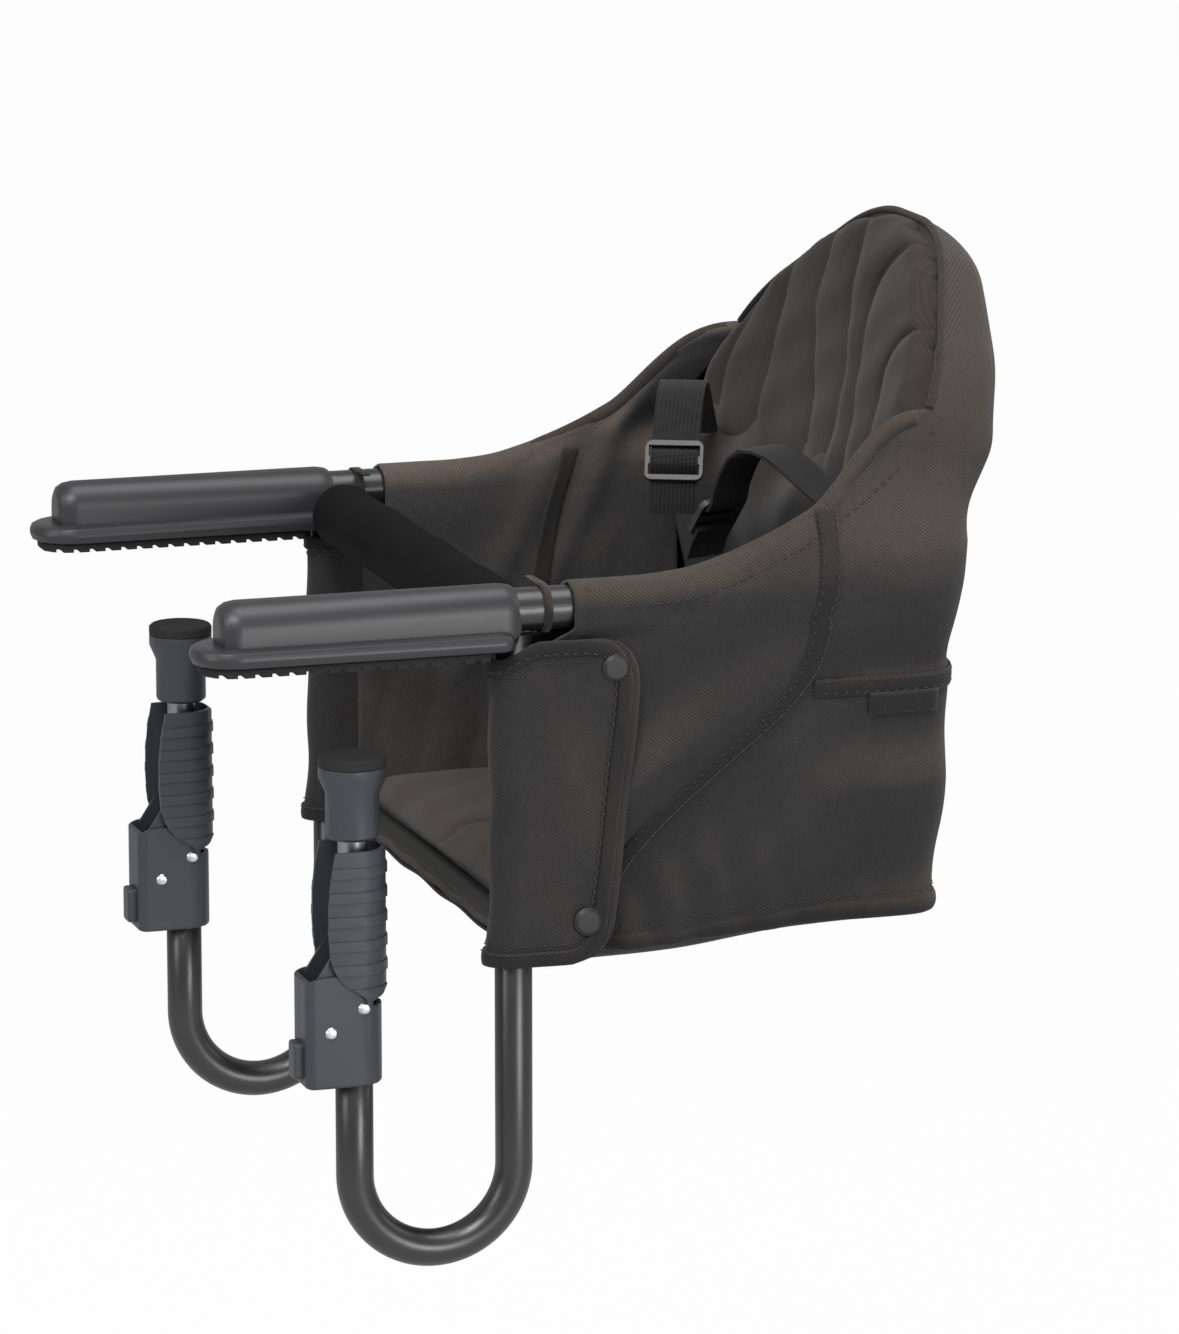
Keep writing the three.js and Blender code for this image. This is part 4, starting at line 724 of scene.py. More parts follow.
def side_inner(y, z):
    wall = -8.2 - 2.8 * smooth(-90, -10, z) - 7.2 * lowered(z)
    tight = mix(SLEEVE, RAIL_RADIUS + 0.9, smooth(120, 150, y))
    face = mix(wall, -tight, smooth(-12, 18, z))
    if z > RAIL_Z:
        face = over_rail(y, z, -tight, wing_line(y) - 1.0)
    slant = y - 150 - 0.45 * (z - 30)
    ridges = 3.0 * hump(slant - 14, 9) + 2.2 * hump(slant + 17, 10)
    face -= ridges * smooth(75, 40, z) * smooth(-110, -60, z) * smooth(4, 12, through(HEM, y) - z)
    hang = 2.2 * max(0.0, wave(y - 0.25 * z, 58, 2.6)) * smooth(8, -40, z)
    return face - 0.7 * max(0.0, folds(y, z)) - hang


# The curved side seam as (height, distance behind the table edge)
SIDE_SEAM = [(-140, 52), (-98, 80), (-60, 121), (-38, 147), (-18, 163), (10, 172), (40, 177), (66, 178)]


def seam_line(z):
    return through(SIDE_SEAM, z)


def seam_side(y, z):
    """How far behind the side seam a place is."""
    return y - seam_line(z)


def round_corner(count, power):
    """Evenly spaced places on a quarter turn with flat sides, as (across, back) shares."""
    turns = [math.pi / 2 * k / 600 for k in range(601)]
    spots = [(math.cos(t) ** (2 / power), math.sin(t) ** (2 / power)) for t in turns]
    runs = [0.0]
    for (a, b), (c, d) in zip(spots, spots[1:]):
        runs.append(runs[-1] + math.hypot((c - a) * 160, (d - b) * 50))
    places = []
    k = 0
    for step in range(count + 1):
        while k < 599 and runs[k + 1] < runs[-1] * step / count:
            k += 1
        share = min(1.0, (runs[-1] * step / count - runs[k]) / (runs[k + 1] - runs[k]))
        places.append(tuple(mix(a, b, share) for a, b in zip(spots[k], spots[k + 1])))
    places[0] = (1.0, 0.0)
    places[-1] = (0.0, 1.0)
    return places


REAR_CELLS = 120
LOW_CELLS = 110
HIGH_CELLS = 44
CORNER = round_corner(REAR_CELLS // 2, 5.0)


def swags(x, height):
    return 1.3 * wave(x + 0.6 * height, 83, 1.1) + 0.9 * wave(height - 0.4 * x, 61, 0.2)


def rear_depth(rise):
    """How far behind the hoop's plane the rear skin stands; it closes over the top."""
    close = max(0.0, (rise - 118) / (BACK_TOP + 0.6 - 118))
    return mix(SEAM_OUT + bow(0, rise) - 0.5, through(REAR_HIGH, rise), rounded(close**4))


def rear_low(share, across, back):
    """A place on the skin below the join; share runs from the lower edge to the join."""
    z = mix(SEAT_BOTTOM, JOIN_Z, share)
    half = ARM_X + side_outer(CORNER_Y, z)
    swag = swags(across * half, z) * back**6
    pocket = 1.6 * smooth(-18, -22, z) * back
    y = mix(CORNER_Y, through(REAR_LOW, z) + pocket, back) + swag
    flat = Vector((across * half, y, z))
    return flat.lerp(rear_high((z - RAIL_Z) / math.cos(BACK_LEAN), across, back), smooth(36, JOIN_Z, z))


def rear_high(rise, across, back):
    half = back_half(rise) + 1.0
    x = across * half
    out = mix(SEAM_OUT + bow(half, rise), rear_depth(rise), back) + swags(x, rise) * back**6
    return leaned(x, rise, out)


def turned_round(u):
    """Across and back shares of a place on the skin, from the left side round to the right."""
    k = round(u * REAR_CELLS)
    if k <= REAR_CELLS // 2:
        return CORNER[k]
    across, back = CORNER[REAR_CELLS - k]
    return -across, back


def side_place(u, v, inner=False):
    """A place on the left side cloth: u from front edge to rear corner, v from lower edge to hem."""
    corner = rear_low(v, 1.0, 0.0)
    near = smooth(0.66, 1.0, u)
    hem = through(HEM, mix(side_front(RAIL_Z), HEM[-1][0], u))
    y = mix(side_front(mix(SEAT_BOTTOM, hem, v)), corner.y, u)
    z = mix(lower_edge(y), hem, v)
    if inner:
        top = mix(hem, rear_low(1.0, 1.0, 0.0).z, near)
        low = mix(SEAT_BOTTOM + 10, top, v)
        high = near * smooth(30, 60, low)
        spot = Vector((mix(ARM_X + side_inner(y, low), corner.x - 7.0, high), y, low))
    else:
        x = ARM_X + mix(side_outer(y, z), corner.x - ARM_X, near)
        spot = Vector((x, y, mix(z, corner.z, near)))
    edge = mix(ARM_X + wing_line(y), corner.x, near)
    spot.x = mix(spot.x, edge, smooth(0.985, 1.0, v))
    return spot


def side_spot(sign, y, z, lift=0.0, inner=False):
    """The place on a side cloth at a distance behind the table edge and a height, and its normal."""
    tall = through(HEM, y) - SEAT_BOTTOM
    v = (z - SEAT_BOTTOM) / tall
    for _ in range(5):
        corner = rear_low(v, 1.0, 0.0)
        u = (y - side_front(z)) / (corner.y - side_front(z))
        v = min(0.996, max(0.004, v + (z - side_place(u, v, inner).z) / tall))
    along = side_place(u + 0.004, v, inner) - side_place(u - 0.004, v, inner)
    rise = side_place(u, v + 0.004, inner) - side_place(u, v - 0.004, inner)
    normal = along.cross(rise).normalized() * (-1 if inner else 1)
    spot = side_place(u, v, inner) + normal * lift
    return mirrored(spot, sign), mirrored(normal, sign)


def rear_spot(u, z, lift=0.0):
    """The place on the rear at a share of the way round and a height, and its normal."""
    v = (z - SEAT_BOTTOM) / (JOIN_Z - SEAT_BOTTOM)
    step = 1 / REAR_CELLS
    at = [turned_round(min(1.0, max(0.0, place))) for place in (u - step, u, u + step)]
    along = rear_low(v, *at[2]) - rear_low(v, *at[0])
    rise = rear_low(v + 0.004, *at[1]) - rear_low(v - 0.004, *at[1])
    normal = along.cross(rise).normalized()
    return rear_low(v, *at[1]) + normal * lift, normal


def girdle(first, height, lift=0.0, drop=0.0):
    """Places and normals round the chair, from the left side behind the sitter to the right side."""
    sides = {1: [], -1: []}
    for sign, places in sides.items():
        for k in range(40):
            y = mix(first, CORNER_Y - 2, k / 40)
            places.append(side_spot(sign, y, height - drop * smooth(200, 70, y), lift))
    rear = [rear_spot(k / REAR_CELLS, height, lift) for k in range(REAR_CELLS + 1)]
    return sides[1] + rear + sides[-1][::-1]


def side_sheet(sign, inner):
    bm = grid(90, LOW_CELLS, lambda u, v: mirrored(side_place(u, v, inner), sign))
    # Inner faces get the second material, the brighter twill that paints light on them
    for face in bm.faces:
        face.material_index = int(inner)
    return bm


def outer_cloth():
    """The sides and the rear as one skin, folded in along the side hems and closed round the backrest."""
    def low(u, v):
        return rear_low(v, *turned_round(u))

    def rise_at(v):
        return mix(JOIN, BACK_TOP + 0.6, eased(v))

    def high(u, v):
        return rear_high(rise_at(v), *turned_round(u))

    def front(u, v):
        rise = rise_at(v)
        x = (1 - 2 * u) * (back_half(rise) + 1.0)
        return leaned(x, rise, SEAM_OUT + bow(x, rise))

    sides = [side_sheet(sign, inner) for sign in (1, -1) for inner in (False, True)]
    rear = [grid(REAR_CELLS, LOW_CELLS, low), grid(REAR_CELLS, HIGH_CELLS, high)]
    return outward(joined(*sides, *rear, grid(60, HIGH_CELLS, front)))


# Lines sewn into the back pad, each as (up, across)
CHANNELS = [
    [(10, -112), (27, -115), (55, -124), (89, -122), (110, -117)],
    [(10, -52), (40, -66), (80, -84), (125, -92), (150, -88)],
    [(10, 18), (43, 4), (81, -27), (113, -51), (141, -59), (172, -62)],
    [(10, 44), (50, 36), (88, 13), (120, -12), (155, -23), (172, -26)],
    [(10, 84), (50, 66), (84, 36), (110, 21), (133, 19), (160, 40), (172, 52)],
    [(10, 116), (58, 93), (91, 76), (113, 88), (131, 122)],
]


def channel_gap(x, rise):
    """Distance across to the nearest sewn line."""
    return min(abs(x - through(line, rise)) for line in CHANNELS)


def folded(v):
    """Whether a place is on a pad's first face, and its share of the way along that face."""
    return v < 0.5, min(v, 1 - v) / 0.5


def back_pad_shape(shrink):
    """A closed crowned pad in front of the hoop, out to the seam round the backrest."""
    def place(u, v):
        front, share = folded(v)
        side = eased(2 * u - 1)
        rise = mix(BACK_START - 3, BACK_TOP + 5.5, eased(share))
        climb = (rise - BACK_START + 3) / (BACK_TOP - BACK_START + 8.5)
        edge = rounded(abs(side) ** 5) * rounded(abs(2 * climb - 1) ** 7)
        depth = mix(-4.0, -8.8, edge) - (7.0 + (6.5 - shrink) * edge if front else 0.0)
        wider = 5.0 + 4.0 * smooth(100, 70, rise) + 5.0 * smooth(105, 150, rise) - 5.5 * climb**12
        half = back_half(min(rise, BACK_TOP)) + wider
        return on_back(side * half, rise, depth)

    return closed(grid(72, 96, place))


def seat_pad_shape(shrink):
    """A closed crowned pad on the seat board."""
    def place(u, v):
        top, share = folded(v)
        across = eased(2 * u - 1)
        along = eased(2 * share - 1)
        edge = rounded(abs(across) ** 6) * rounded(abs(along) ** 6)
        waist = 1 - 0.012 * (1 - along**2)
        x = across * (150.5 - shrink * 0.3) * waist
        y = 124.0 + along * (111.0 - shrink * 0.3) * (1 - 0.014 * (1 - across**2))
        z = -142.6 + (2.0 + (12.5 - shrink) * edge if top else 0.0)
        return Vector((x, y, z))

    return closed(grid(64, 88, place))


PAD_VOXEL = 0.0042
PAD_PRESSURE = 4.0
PAD_FRAMES = 20


def plumped(bm, cap):
    """Swells a closed pad with cloth pressure, no point moving more than the cap, in millimetres."""
    mesh = bpy.data.meshes.new("plumping")
    scaled(bm, MM).to_mesh(mesh)
    bm.free()
    pad = bpy.data.objects.new("plumping", mesh)
    scene = bpy.context.scene
    scene.collection.objects.link(pad)
    remesh = pad.modifiers.new("even", "REMESH")
    remesh.mode = "VOXEL"
    remesh.voxel_size = PAD_VOXEL
    graph = bpy.context.evaluated_depsgraph_get()
    even = bpy.data.meshes.new_from_object(pad.evaluated_get(graph))
    pad.modifiers.clear()
    pad.data = even
    rest = [v.co.copy() for v in even.vertices]
    cloth = pad.modifiers.new("swell", "CLOTH")
    cloth.settings.use_pressure = True
    cloth.settings.uniform_pressure_force = PAD_PRESSURE
    cloth.settings.effector_weights.gravity = 0.0
    cloth.settings.quality = 4
    for step in range(1, PAD_FRAMES + 1):
        scene.frame_set(step)
    graph = bpy.context.evaluated_depsgraph_get()
    swollen = pad.evaluated_get(graph).to_mesh()
    for start, vert, kept in zip(rest, swollen.vertices, even.vertices):
        move = vert.co - start
        if move.length > cap * MM:
            move = move.normalized() * cap * MM
        kept.co = start + move
    pad.evaluated_get(graph).to_mesh_clear()
    pad.modifiers.clear()
    scene.frame_set(1)
    shape = bmesh.new()
    shape.from_mesh(even)
    bpy.data.objects.remove(pad)
    for _ in range(3):
        bmesh.ops.smooth_vert(
            shape, verts=shape.verts, factor=0.5, use_axis_x=True, use_axis_y=True, use_axis_z=True
        )
    return scaled(shape, 1 / MM)


# Operators


class ChairOperator:
    bl_options = {"REGISTER"}

    def execute(self, context):
        self.make(context)
        return {"FINISHED"}


class CHAIR_OT_finish_hardware(ChairOperator, bpy.types.Operator):
    """Gives the frame's rigid pieces their finishes and smooth faces"""

    bl_idname = "chair.finish_hardware"
    bl_label = "Hardware finishes"

    FINISH_OF = {
        "crossbar_tube": "tube", "side_rail": "tube", "back_hoop": "tube", "snap": "snap",
        "arm_cover": "cover", "arm_pad": "rubber", "foot_pad": "rubber", "clamp": "clamp",
        "foot_cup": "clamp", "release_button": "clamp", "pivot_rivet": "steel", "tube_rivet": "steel",
        "hinge_pin": "snap", "plunger": "drawn", "strap_slider": "slider", "harness_buckle": "slider",
        "seat_board": "board",
    }

    MOULDED = ("cover", "clamp", "slider")
    EDGE_WIDTH = 0.0005
    EDGE_ANGLE = math.radians(38)
    CREASE_ANGLE = math.radians(34)

    def make(self, context):
        for name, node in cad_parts.items():
            finish = next((f for start, f in self.FINISH_OF.items() if name.startswith(start)), None)
            if finish is None:
                continue
            node.data.materials.clear()
            node.data.materials.append(finishes()[finish])
            node.data.polygons.foreach_set("use_smooth", [True] * len(node.data.polygons))
            weld = node.modifiers.new("weld", "WELD")
            weld.merge_threshold = 0.00001
            if finish in self.MOULDED:
                edge = node.modifiers.new("edge", "BEVEL")
                edge.width = self.EDGE_WIDTH
                edge.segments = 2
                edge.limit_method = "ANGLE"
                edge.angle_limit = self.EDGE_ANGLE
            split = node.modifiers.new("crease", "EDGE_SPLIT")
            split.split_angle = self.CREASE_ANGLE
            if finish in self.MOULDED:
                node.modifiers.new("flat", "WEIGHTED_NORMAL").weight = 100


class CHAIR_OT_make_hooks(ChairOperator, bpy.types.Operator):
    """Draws the two hook tubes with round bends"""

    bl_idname = "chair.make_hooks"
    bl_label = "Hook tubes"

    def make(self, context):
        bottom = HOOK_RADIUS - HOOK_DEPTH
        front = HOOK_BACK - HOOK_SPAN
        for side, sign in SIDES.items():
            x = sign * ARM_X
            corners = [
                (x, HOOK_BACK, RAIL_Z - RAIL_RADIUS - 0.6), (x, HOOK_BACK, bottom), (x, front, bottom),
                (x, front, -HOOK_TOP),
            ]
            bm = pipe(bent(corners, HOOK_SPAN / 2, 24), HOOK_RADIUS, 32)
            node = f"hook_tube_{side}"
            piece(f"round_{node}", bm, "tube", "frame", [node])


class CHAIR_OT_make_foam(ChairOperator, bpy.types.Operator):
    """Draws the soft sleeve on the crossbar"""

    bl_idname = "chair.make_foam"
    bl_label = "Crossbar foam"

    BORE = 8.6
    ROUNDING = 7.0
    BAR_Z = 14.0

    def make(self, context):
        low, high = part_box("crossbar_foam")
        half = high.x / MM
        radius = (high.z - low.z) / MM / 2

        def place(u, v):
            x = mix(-half, half, v)
            end = min(half - abs(x), self.ROUNDING) / self.ROUNDING
            r = mix(self.BORE, radius, rounded((1 - end) ** 2)) + 0.2 * wave(x, 83, 0.5)
            turn = math.tau * u
            return Vector((x, HOOK_BACK + r * math.cos(turn), self.BAR_Z + r * math.sin(turn)))

        bm = grid(40, 120, place)
        bmesh.ops.remove_doubles(bm, verts=bm.verts, dist=0.001)
        bmesh.ops.holes_fill(bm, edges=[e for e in bm.edges if e.is_boundary])
        sleeve = piece("foam_sleeve", outward(bm), "foam", "frame", ["crossbar_foam"])


class CHAIR_OT_make_cloth(ChairOperator, bpy.types.Operator):
    """Drapes the sides and the rear as one skin, with its seams, hems, pocket and stitching"""

    bl_idname = "chair.make_cloth"
    bl_label = "Outer cloth"

    START = (0.0, 0.190, 0.020)
    END = (0.0, 0.235, 0.100)
    POCKET = -22.0
    POCKET_FRONT = 168
    POCKET_BAND = 9.0

    def make(self, context):
        sizes = context.scene.chair_sizes
        stitch = sizes.stitch / MM
        bm = outer_cloth()
        area = area_of(bm)
        nodes = [f"{part}_{side}" for part in ("side_panel", "side_wing") for side in SIDES]
        skin = piece(
            "outer_cloth", bm, "twill", None,
            [*nodes, "rear_panel", "rear_pocket", "back_core"], sizes.cloth,
        )
        # The inner faces take the brighter twill copy, painted light where little light reaches
        skin.data.materials.append(finishes()["lining_twill"])
        trims = [
            self.trim("pocket_band", self.band(), "bias_tape"),
            self.trim("pocket_tab", self.tab(), "bias_tape"),
            self.trim("pocket_stitching", self.pocket_stitches(stitch), "thread", 0.0),
        ]
        for side, sign in SIDES.items():
            trims += [
                self.trim(f"side_seam_{side}", self.seam_band(sign), "bias_tape"),
                self.trim(f"inner_seam_{side}", self.inner_band(sign), "bias_tape"),
                self.trim(f"hem_roll_{side}", self.hem_roll(sign), "twill", 0.0),
                self.trim(f"side_stitching_{side}", self.seam_stitches(sign, stitch), "thread", 0.0),
            ]
        for made in (skin, *trims):
            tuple(self.START)
            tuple(self.END)
            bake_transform(made)
        piping = pipe(self.edge_line(), sizes.piping / MM / 2, 12)
        trims.append(piece("back_piping", piping, "bias_tape", "backrest"))
        rim = girdle(30, SEAT_BOTTOM + 3.0, 0.6, 6.0)
        hem = pipe([spot for spot, _ in rim], 2.4, 12, (0, 0, 1), 2.0)
        trims.append(piece("lower_hem", hem, "bias_tape", "frame"))

    def trim(self, name, bm, finish, thickness=0.001):
        return piece(name, bm, finish, None, (), thickness)

    def hem_roll(self, sign):
        """The hem turned over along the side's top, sinking into the sleeve in front."""
        points = []
        for k in range(70):
            y = mix(84, 233, k / 69)
            spot = side_place((y - 41) / (HEM[-1][0] - 41), 1.0)
            spot.z = spot.z - 4.6 - 6.0 * smooth(135, 90, y)
            points.append(mirrored(spot, sign))
        return pipe(points, 4.3, 12, (0, 0, 1), 1.25)

    def band(self):
        """A flat tape round the pocket's upper edge."""
        rows = []
        for k in range(5):
            lift = 1.5 + 0.5 * math.sin(math.pi * k / 4)
            rows.append(girdle(self.POCKET_FRONT, self.POCKET - self.POCKET_BAND * k / 4, lift))
        return self.tape(rows)

    def tab(self):
        """A bare cloth tab under the pocket's band, at the rear corner."""
        heights = [self.POCKET - mix(8.0, 19.0, k / 5) for k in range(6)]
        return self.tape([girdle(self.POCKET_FRONT, height, 2.6)[31:50] for height in heights])

    def tape(self, rows):
        """A sheet through rows of places on the cloth."""
        down = len(rows) - 1
        count = len(rows[0]) - 1
        return outward(grid(count, down, lambda u, v: rows[round(v * down)][round(u * count)][0]))

    def seam_band(self, sign):
        top = through(HEM, 178) - 2

        def place(u, v):
            z = mix(-138, top, v)
            crown = 0.8 * (1 - (2 * u - 1) ** 2)
            return side_spot(sign, seam_line(z) + mix(-5.5, 5.5, u), z, 0.9 + crown)[0]

        return outward(grid(6, 90, place))

    def inner_band(self, sign):
        line = [(-60, 124), (-32, 129), (1, 135), (28, 142), (45, 149)]

        def place(u, v):
            z = mix(-60, 40, v)
            off = mix(-4.5, 4.5, u)
            near = [z + step for step in (-10, -5, 0, 5, 10)]
            spots = [side_spot(sign, through(line, at) + off, at, 1.8, True)[0] for at in near]
            return sum(spots, Vector()) / len(spots)

        return outward(grid(5, 60, place))

    def row(self, bm, spots, length):
        points = dense([spot for spot, _ in spots])
        last = len(spots) - 1
        normals = [spots[round(k / (len(points) - 1) * last)][1] for k in range(len(points))]
        stitches(bm, points, normals, length)

    def pocket_stitches(self, length):
        bm = bmesh.new()
        self.row(bm, girdle(170, self.POCKET - 1.4, 2.2), length)
        self.row(bm, girdle(170, self.POCKET - 7.4, 2.2), length)
        self.row(bm, girdle(62, SEAT_BOTTOM + 10.5, 0.9, 5.0), length)
        return bm

    def seam_stitches(self, sign, length):
        bm = bmesh.new()
        for offset in (-3.9, 3.9):
            heights = range(-136, int(through(HEM, 178)) - 3, 2)
            self.row(bm, [side_spot(sign, seam_line(z) + offset, z, 2.0) for z in heights], length)
        self.row(bm, [side_spot(sign, y, through(HEM, y) - 12.0, 0.9) for y in range(64, 226, 3)], length)
        self.row(bm, [side_spot(sign, side_front(z) + 7.5, z, 0.9) for z in range(3, 33)], length)
        return bm

    def edge_line(self):
        half = [Vector((back_half(JOIN), JOIN, 0))] + [p for p in OUTLINE if p.y > JOIN + 1]
        right = [on_back(p.x + 0.8, p.y + 0.4, SEAM_OUT - 0.4) for p in half]
        left = [mirrored(p, -1) for p in reversed(right[:-1])]
        return right + left


class CHAIR_OT_make_lining(ChairOperator, bpy.types.Operator):
    """Hangs the lining from the back pad down to the seat, in front of the hinges"""

    bl_idname = "chair.make_lining"
    bl_label = "Lining"

    FALL = [(-141, 234), (-90, 227), (-30, 214), (8, 206), (30, 205), (46, 207), (66, 216)]

    def make(self, context):
        def place(u, v):
            z = mix(66, -141, v)
            y = through(self.FALL, z)
            side = 2 * u - 1
            half = ARM_X + min(side_inner(min(y, 200), z), -8.0) + 1.8
            sag = 1.9 * wave(side * half + 0.5 * z, 92, 0.8) + 1.1 * wave(z - side * half * 0.7, 61, 2.0)
            curve = bow(side * half, max(z - RAIL_Z, 0.0)) * smooth(10, 50, z)
            return Vector((side * half, y + sag * (1 - side**4) + curve, z))

        bm = outward(grid(60, 50, place))
        area = area_of(bm)
        cloth = context.scene.chair_sizes.cloth
        lining = piece("rear_lining", bm, "dark_twill", None, (), cloth)
        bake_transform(lining)


class CHAIR_OT_make_back_pad(ChairOperator, bpy.types.Operator):
    """Swells the back pad and draws in its sewn channels"""

    bl_idname = "chair.make_back_pad"
    bl_label = "Back pad"

    def make(self, context):
        cap = context.scene.chair_sizes.swell / MM
        bm = plumped(back_pad_shape(3.0), cap)
        bmesh.ops.subdivide_edges(bm, edges=bm.edges, cuts=1, use_grid_fill=True)
        forward = Vector((0, -math.cos(BACK_LEAN), math.sin(BACK_LEAN)))
        outward(bm).normal_update()
        for vert in bm.verts:
            facing = vert.normal.dot(forward)
            if facing < 0.1:
                continue
            x, y, z = vert.co
            rise = (z - RAIL_Z) * math.cos(BACK_LEAN) + (y - HINGE_Y) * math.sin(BACK_LEAN)
            gap = channel_gap(x, rise)
            drawn = 2.0 * hump(gap, 2.6) + 1.8 * hump(gap, 11)
            slack = 0.7 * wave(x * 0.5 + rise, 71, 0.5) + 0.4 * wave(rise - x * 0.6, 43)
            vert.co -= forward * (drawn * smooth(BACK_TOP + 12, BACK_TOP - 12, rise) - slack) * facing
        # The back pad wears the darker copy of the twill, painted shade
        pad = piece("quilted_back_pad", bm, "pad_twill", "backrest", ["back_pad"])


class CHAIR_OT_make_seat(ChairOperator, bpy.types.Operator):
    """Swells the seat pad and lays the cloth under the board"""

    bl_idname = "chair.make_seat"
    bl_label = "Seat pad and sling"

    # The sling's rear corners: their depth in millimetres, and the power that squares them
    CORNER_DEPTH = 43.2
    SQUARE = 4.75

    def make(self, context):
        cap = context.scene.chair_sizes.swell / MM
        bm = plumped(seat_pad_shape(3.0), cap)
        bmesh.ops.subdivide_edges(bm, edges=bm.edges, cuts=1, use_grid_fill=True)
        for vert in bm.verts:
            dip = 1.6 * hump(vert.co.x, 3.4) + 1.6 * hump(vert.co.y - 96, 3.4)
            lift = smooth(-140, -133, vert.co.z)
            vert.co.z += lift * (0.6 * wave(vert.co.x + 0.5 * vert.co.y, 47) - dip)
        pad = piece("plump_seat_pad", outward(bm), "twill", "frame", ["seat_pad"])

        low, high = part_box("seat_sling")

        def place(u, v):
            side = eased(2 * u - 1)
            y = mix(low.y / MM, high.y / MM + 13.0, eased(v))
            corner = min(0.98, max(0.0, (y - CORNER_Y) / self.CORNER_DEPTH))
            half = high.x / MM + 6.0 + 5.1 * smooth(150, 205, y)
            x = side * half * (1 - corner**self.SQUARE) ** (1 / self.SQUARE)
            sag = (2.0 + 14.0 * smooth(215, 75, y) * smooth(12, 45, y)) * rounded(abs(side) ** 20)
            return Vector((x, y, -150.4 - sag + 0.8 * wave(x + y, 70) * (1 - side**4)))

        bm = grid(80, 44, place)
        area = area_of(bm)
        cloth = context.scene.chair_sizes.cloth
        sling = piece("under_seat_sling", bm, "dark_twill", "frame", ["seat_sling"], cloth)
        edge = [Vector((mix(-151, 151, k / 60), 12.4, -147.8 + 0.6 * wave(k, 9))) for k in range(61)]
        piece("seat_front_binding", pipe(edge, 2.6, 10), "bias_tape", "frame")


class CHAIR_OT_make_flaps(ChairOperator, bpy.types.Operator):
    """Wraps the flaps round the rear legs, with bound edges and stitching"""

    bl_idname = "chair.make_flaps"
    bl_label = "Leg flaps"

    TOP = -2.0
    BOTTOM = -158.0
    CORNER = 23.0
    LOW_CORNER = 20
    TURN_IN = 15.0
    WRAP = HOOK_RADIUS + 1.8

    def free_edge(self, z):
        edge = mix(78.0, 60.0, (self.TOP - z) / (self.TOP - self.BOTTOM))
        high = max(0.0, z - (self.TOP - self.CORNER)) / self.CORNER
        low = max(0.0, (self.BOTTOM + self.LOW_CORNER) - z) / self.LOW_CORNER
        return edge - self.CORNER * (1 - rounded(high**2)) - 16.0 * (1 - rounded(low**2))

    def around(self, sign, along, z, lift=0.0):
        """A place on the flap: along runs from the inner end round the leg to the free edge."""
        radius = self.WRAP + lift
        inner = self.TURN_IN
        bend = math.pi * radius
        behind = along - inner - math.pi * self.WRAP
        z += 9.0 * smooth(self.TOP - 45, self.TOP, z) * smooth(-8, 16, behind)
        flare = 2.4 * smooth(-120, -158, z) + 0.6 * wave(z, 57, 0.4)
        if along < inner:
            return Vector((sign * (ARM_X - radius), HOOK_BACK + inner - along, z))
        if along < inner + bend:
            turn = (along - inner) / radius
            y = HOOK_BACK - radius * math.sin(turn) - flare * math.sin(turn)
            return Vector((sign * (ARM_X - radius * math.cos(turn)), y, z))
        y = HOOK_BACK + along - inner - bend
        out = radius + 0.7 * wave(y + 0.5 * z, 48, 1.2) * smooth(HOOK_BACK, HOOK_BACK + 20, y)
        return Vector((sign * (ARM_X + out), y, z))

    def reach(self, z):
        return self.TURN_IN + math.pi * self.WRAP + self.free_edge(z) - HOOK_BACK

    def make(self, context):
        sizes = context.scene.chair_sizes
        for side, sign in SIDES.items():
            def place(u, v):
                z = mix(self.BOTTOM, self.TOP, v)
                return self.around(sign, u * self.reach(z), z)

            bm = outward(grid(60, 70, place))
            node = f"leg_flap_{side}"
            flap = piece(f"flap_{side}", bm, "twill", "frame", [node], sizes.cloth)
            width = sizes.binding / MM
            bound = self.binding(sign, width)
            piece(f"flap_binding_{side}", bound, "bias_tape", "frame", (), 0.0008)
            sewn = self.stitching(sign, width, sizes.stitch / MM)
            piece(f"flap_stitching_{side}", sewn, "thread", "frame")

    def edge_places(self):
        """Along and height of the free edge, from the bottom round to the top of the leg."""
        places = [(along, self.BOTTOM) for along in range(4, int(self.reach(self.BOTTOM)), 2)]
        heights = [self.BOTTOM + k * 1.5 for k in range(105)]
        places += [(self.reach(z), z) for z in heights if z < self.TOP]
        places += [(along, self.TOP) for along in range(int(self.reach(self.TOP)), 10, -2)]
        return places

    def inward(self, places, k):
        a = Vector(places[max(k - 2, 0)])
        b = Vector(places[min(k + 2, len(places) - 1)])
        tangent = (b - a).normalized()
        return Vector((-tangent.y, tangent.x))

    def binding(self, sign, width):
        places = self.edge_places()
        count = len(places) - 1

        def place(u, v):
            k = min(count, round(v * count))
            turn = self.inward(places, k)
            across = Vector(places[k]) + turn * (width * u - 0.6)
            bulge = 1.5 + 0.5 * math.sin(math.pi * u)
            return self.around(sign, max(across.x, 0.0), across.y, bulge)

        return outward(grid(5, count, place))

    def stitching(self, sign, width, length):
        places = self.edge_places()
        bm = bmesh.new()
        for inset, lift in ((width - 1.6, 2.3), (width + 2.4, 1.1)):
            line = []
            for k in range(len(places)):
                spot = Vector(places[k]) + self.inward(places, k) * inset
                line.append(self.around(sign, max(spot.x, 0.0), spot.y, lift))
            points = dense(line)
            normals = [Vector((sign, 0, 0)) if p.y > HOOK_BACK else Vector((0, -1, 0)) for p in points]
            stitches(bm, points, normals, length)
        return bm


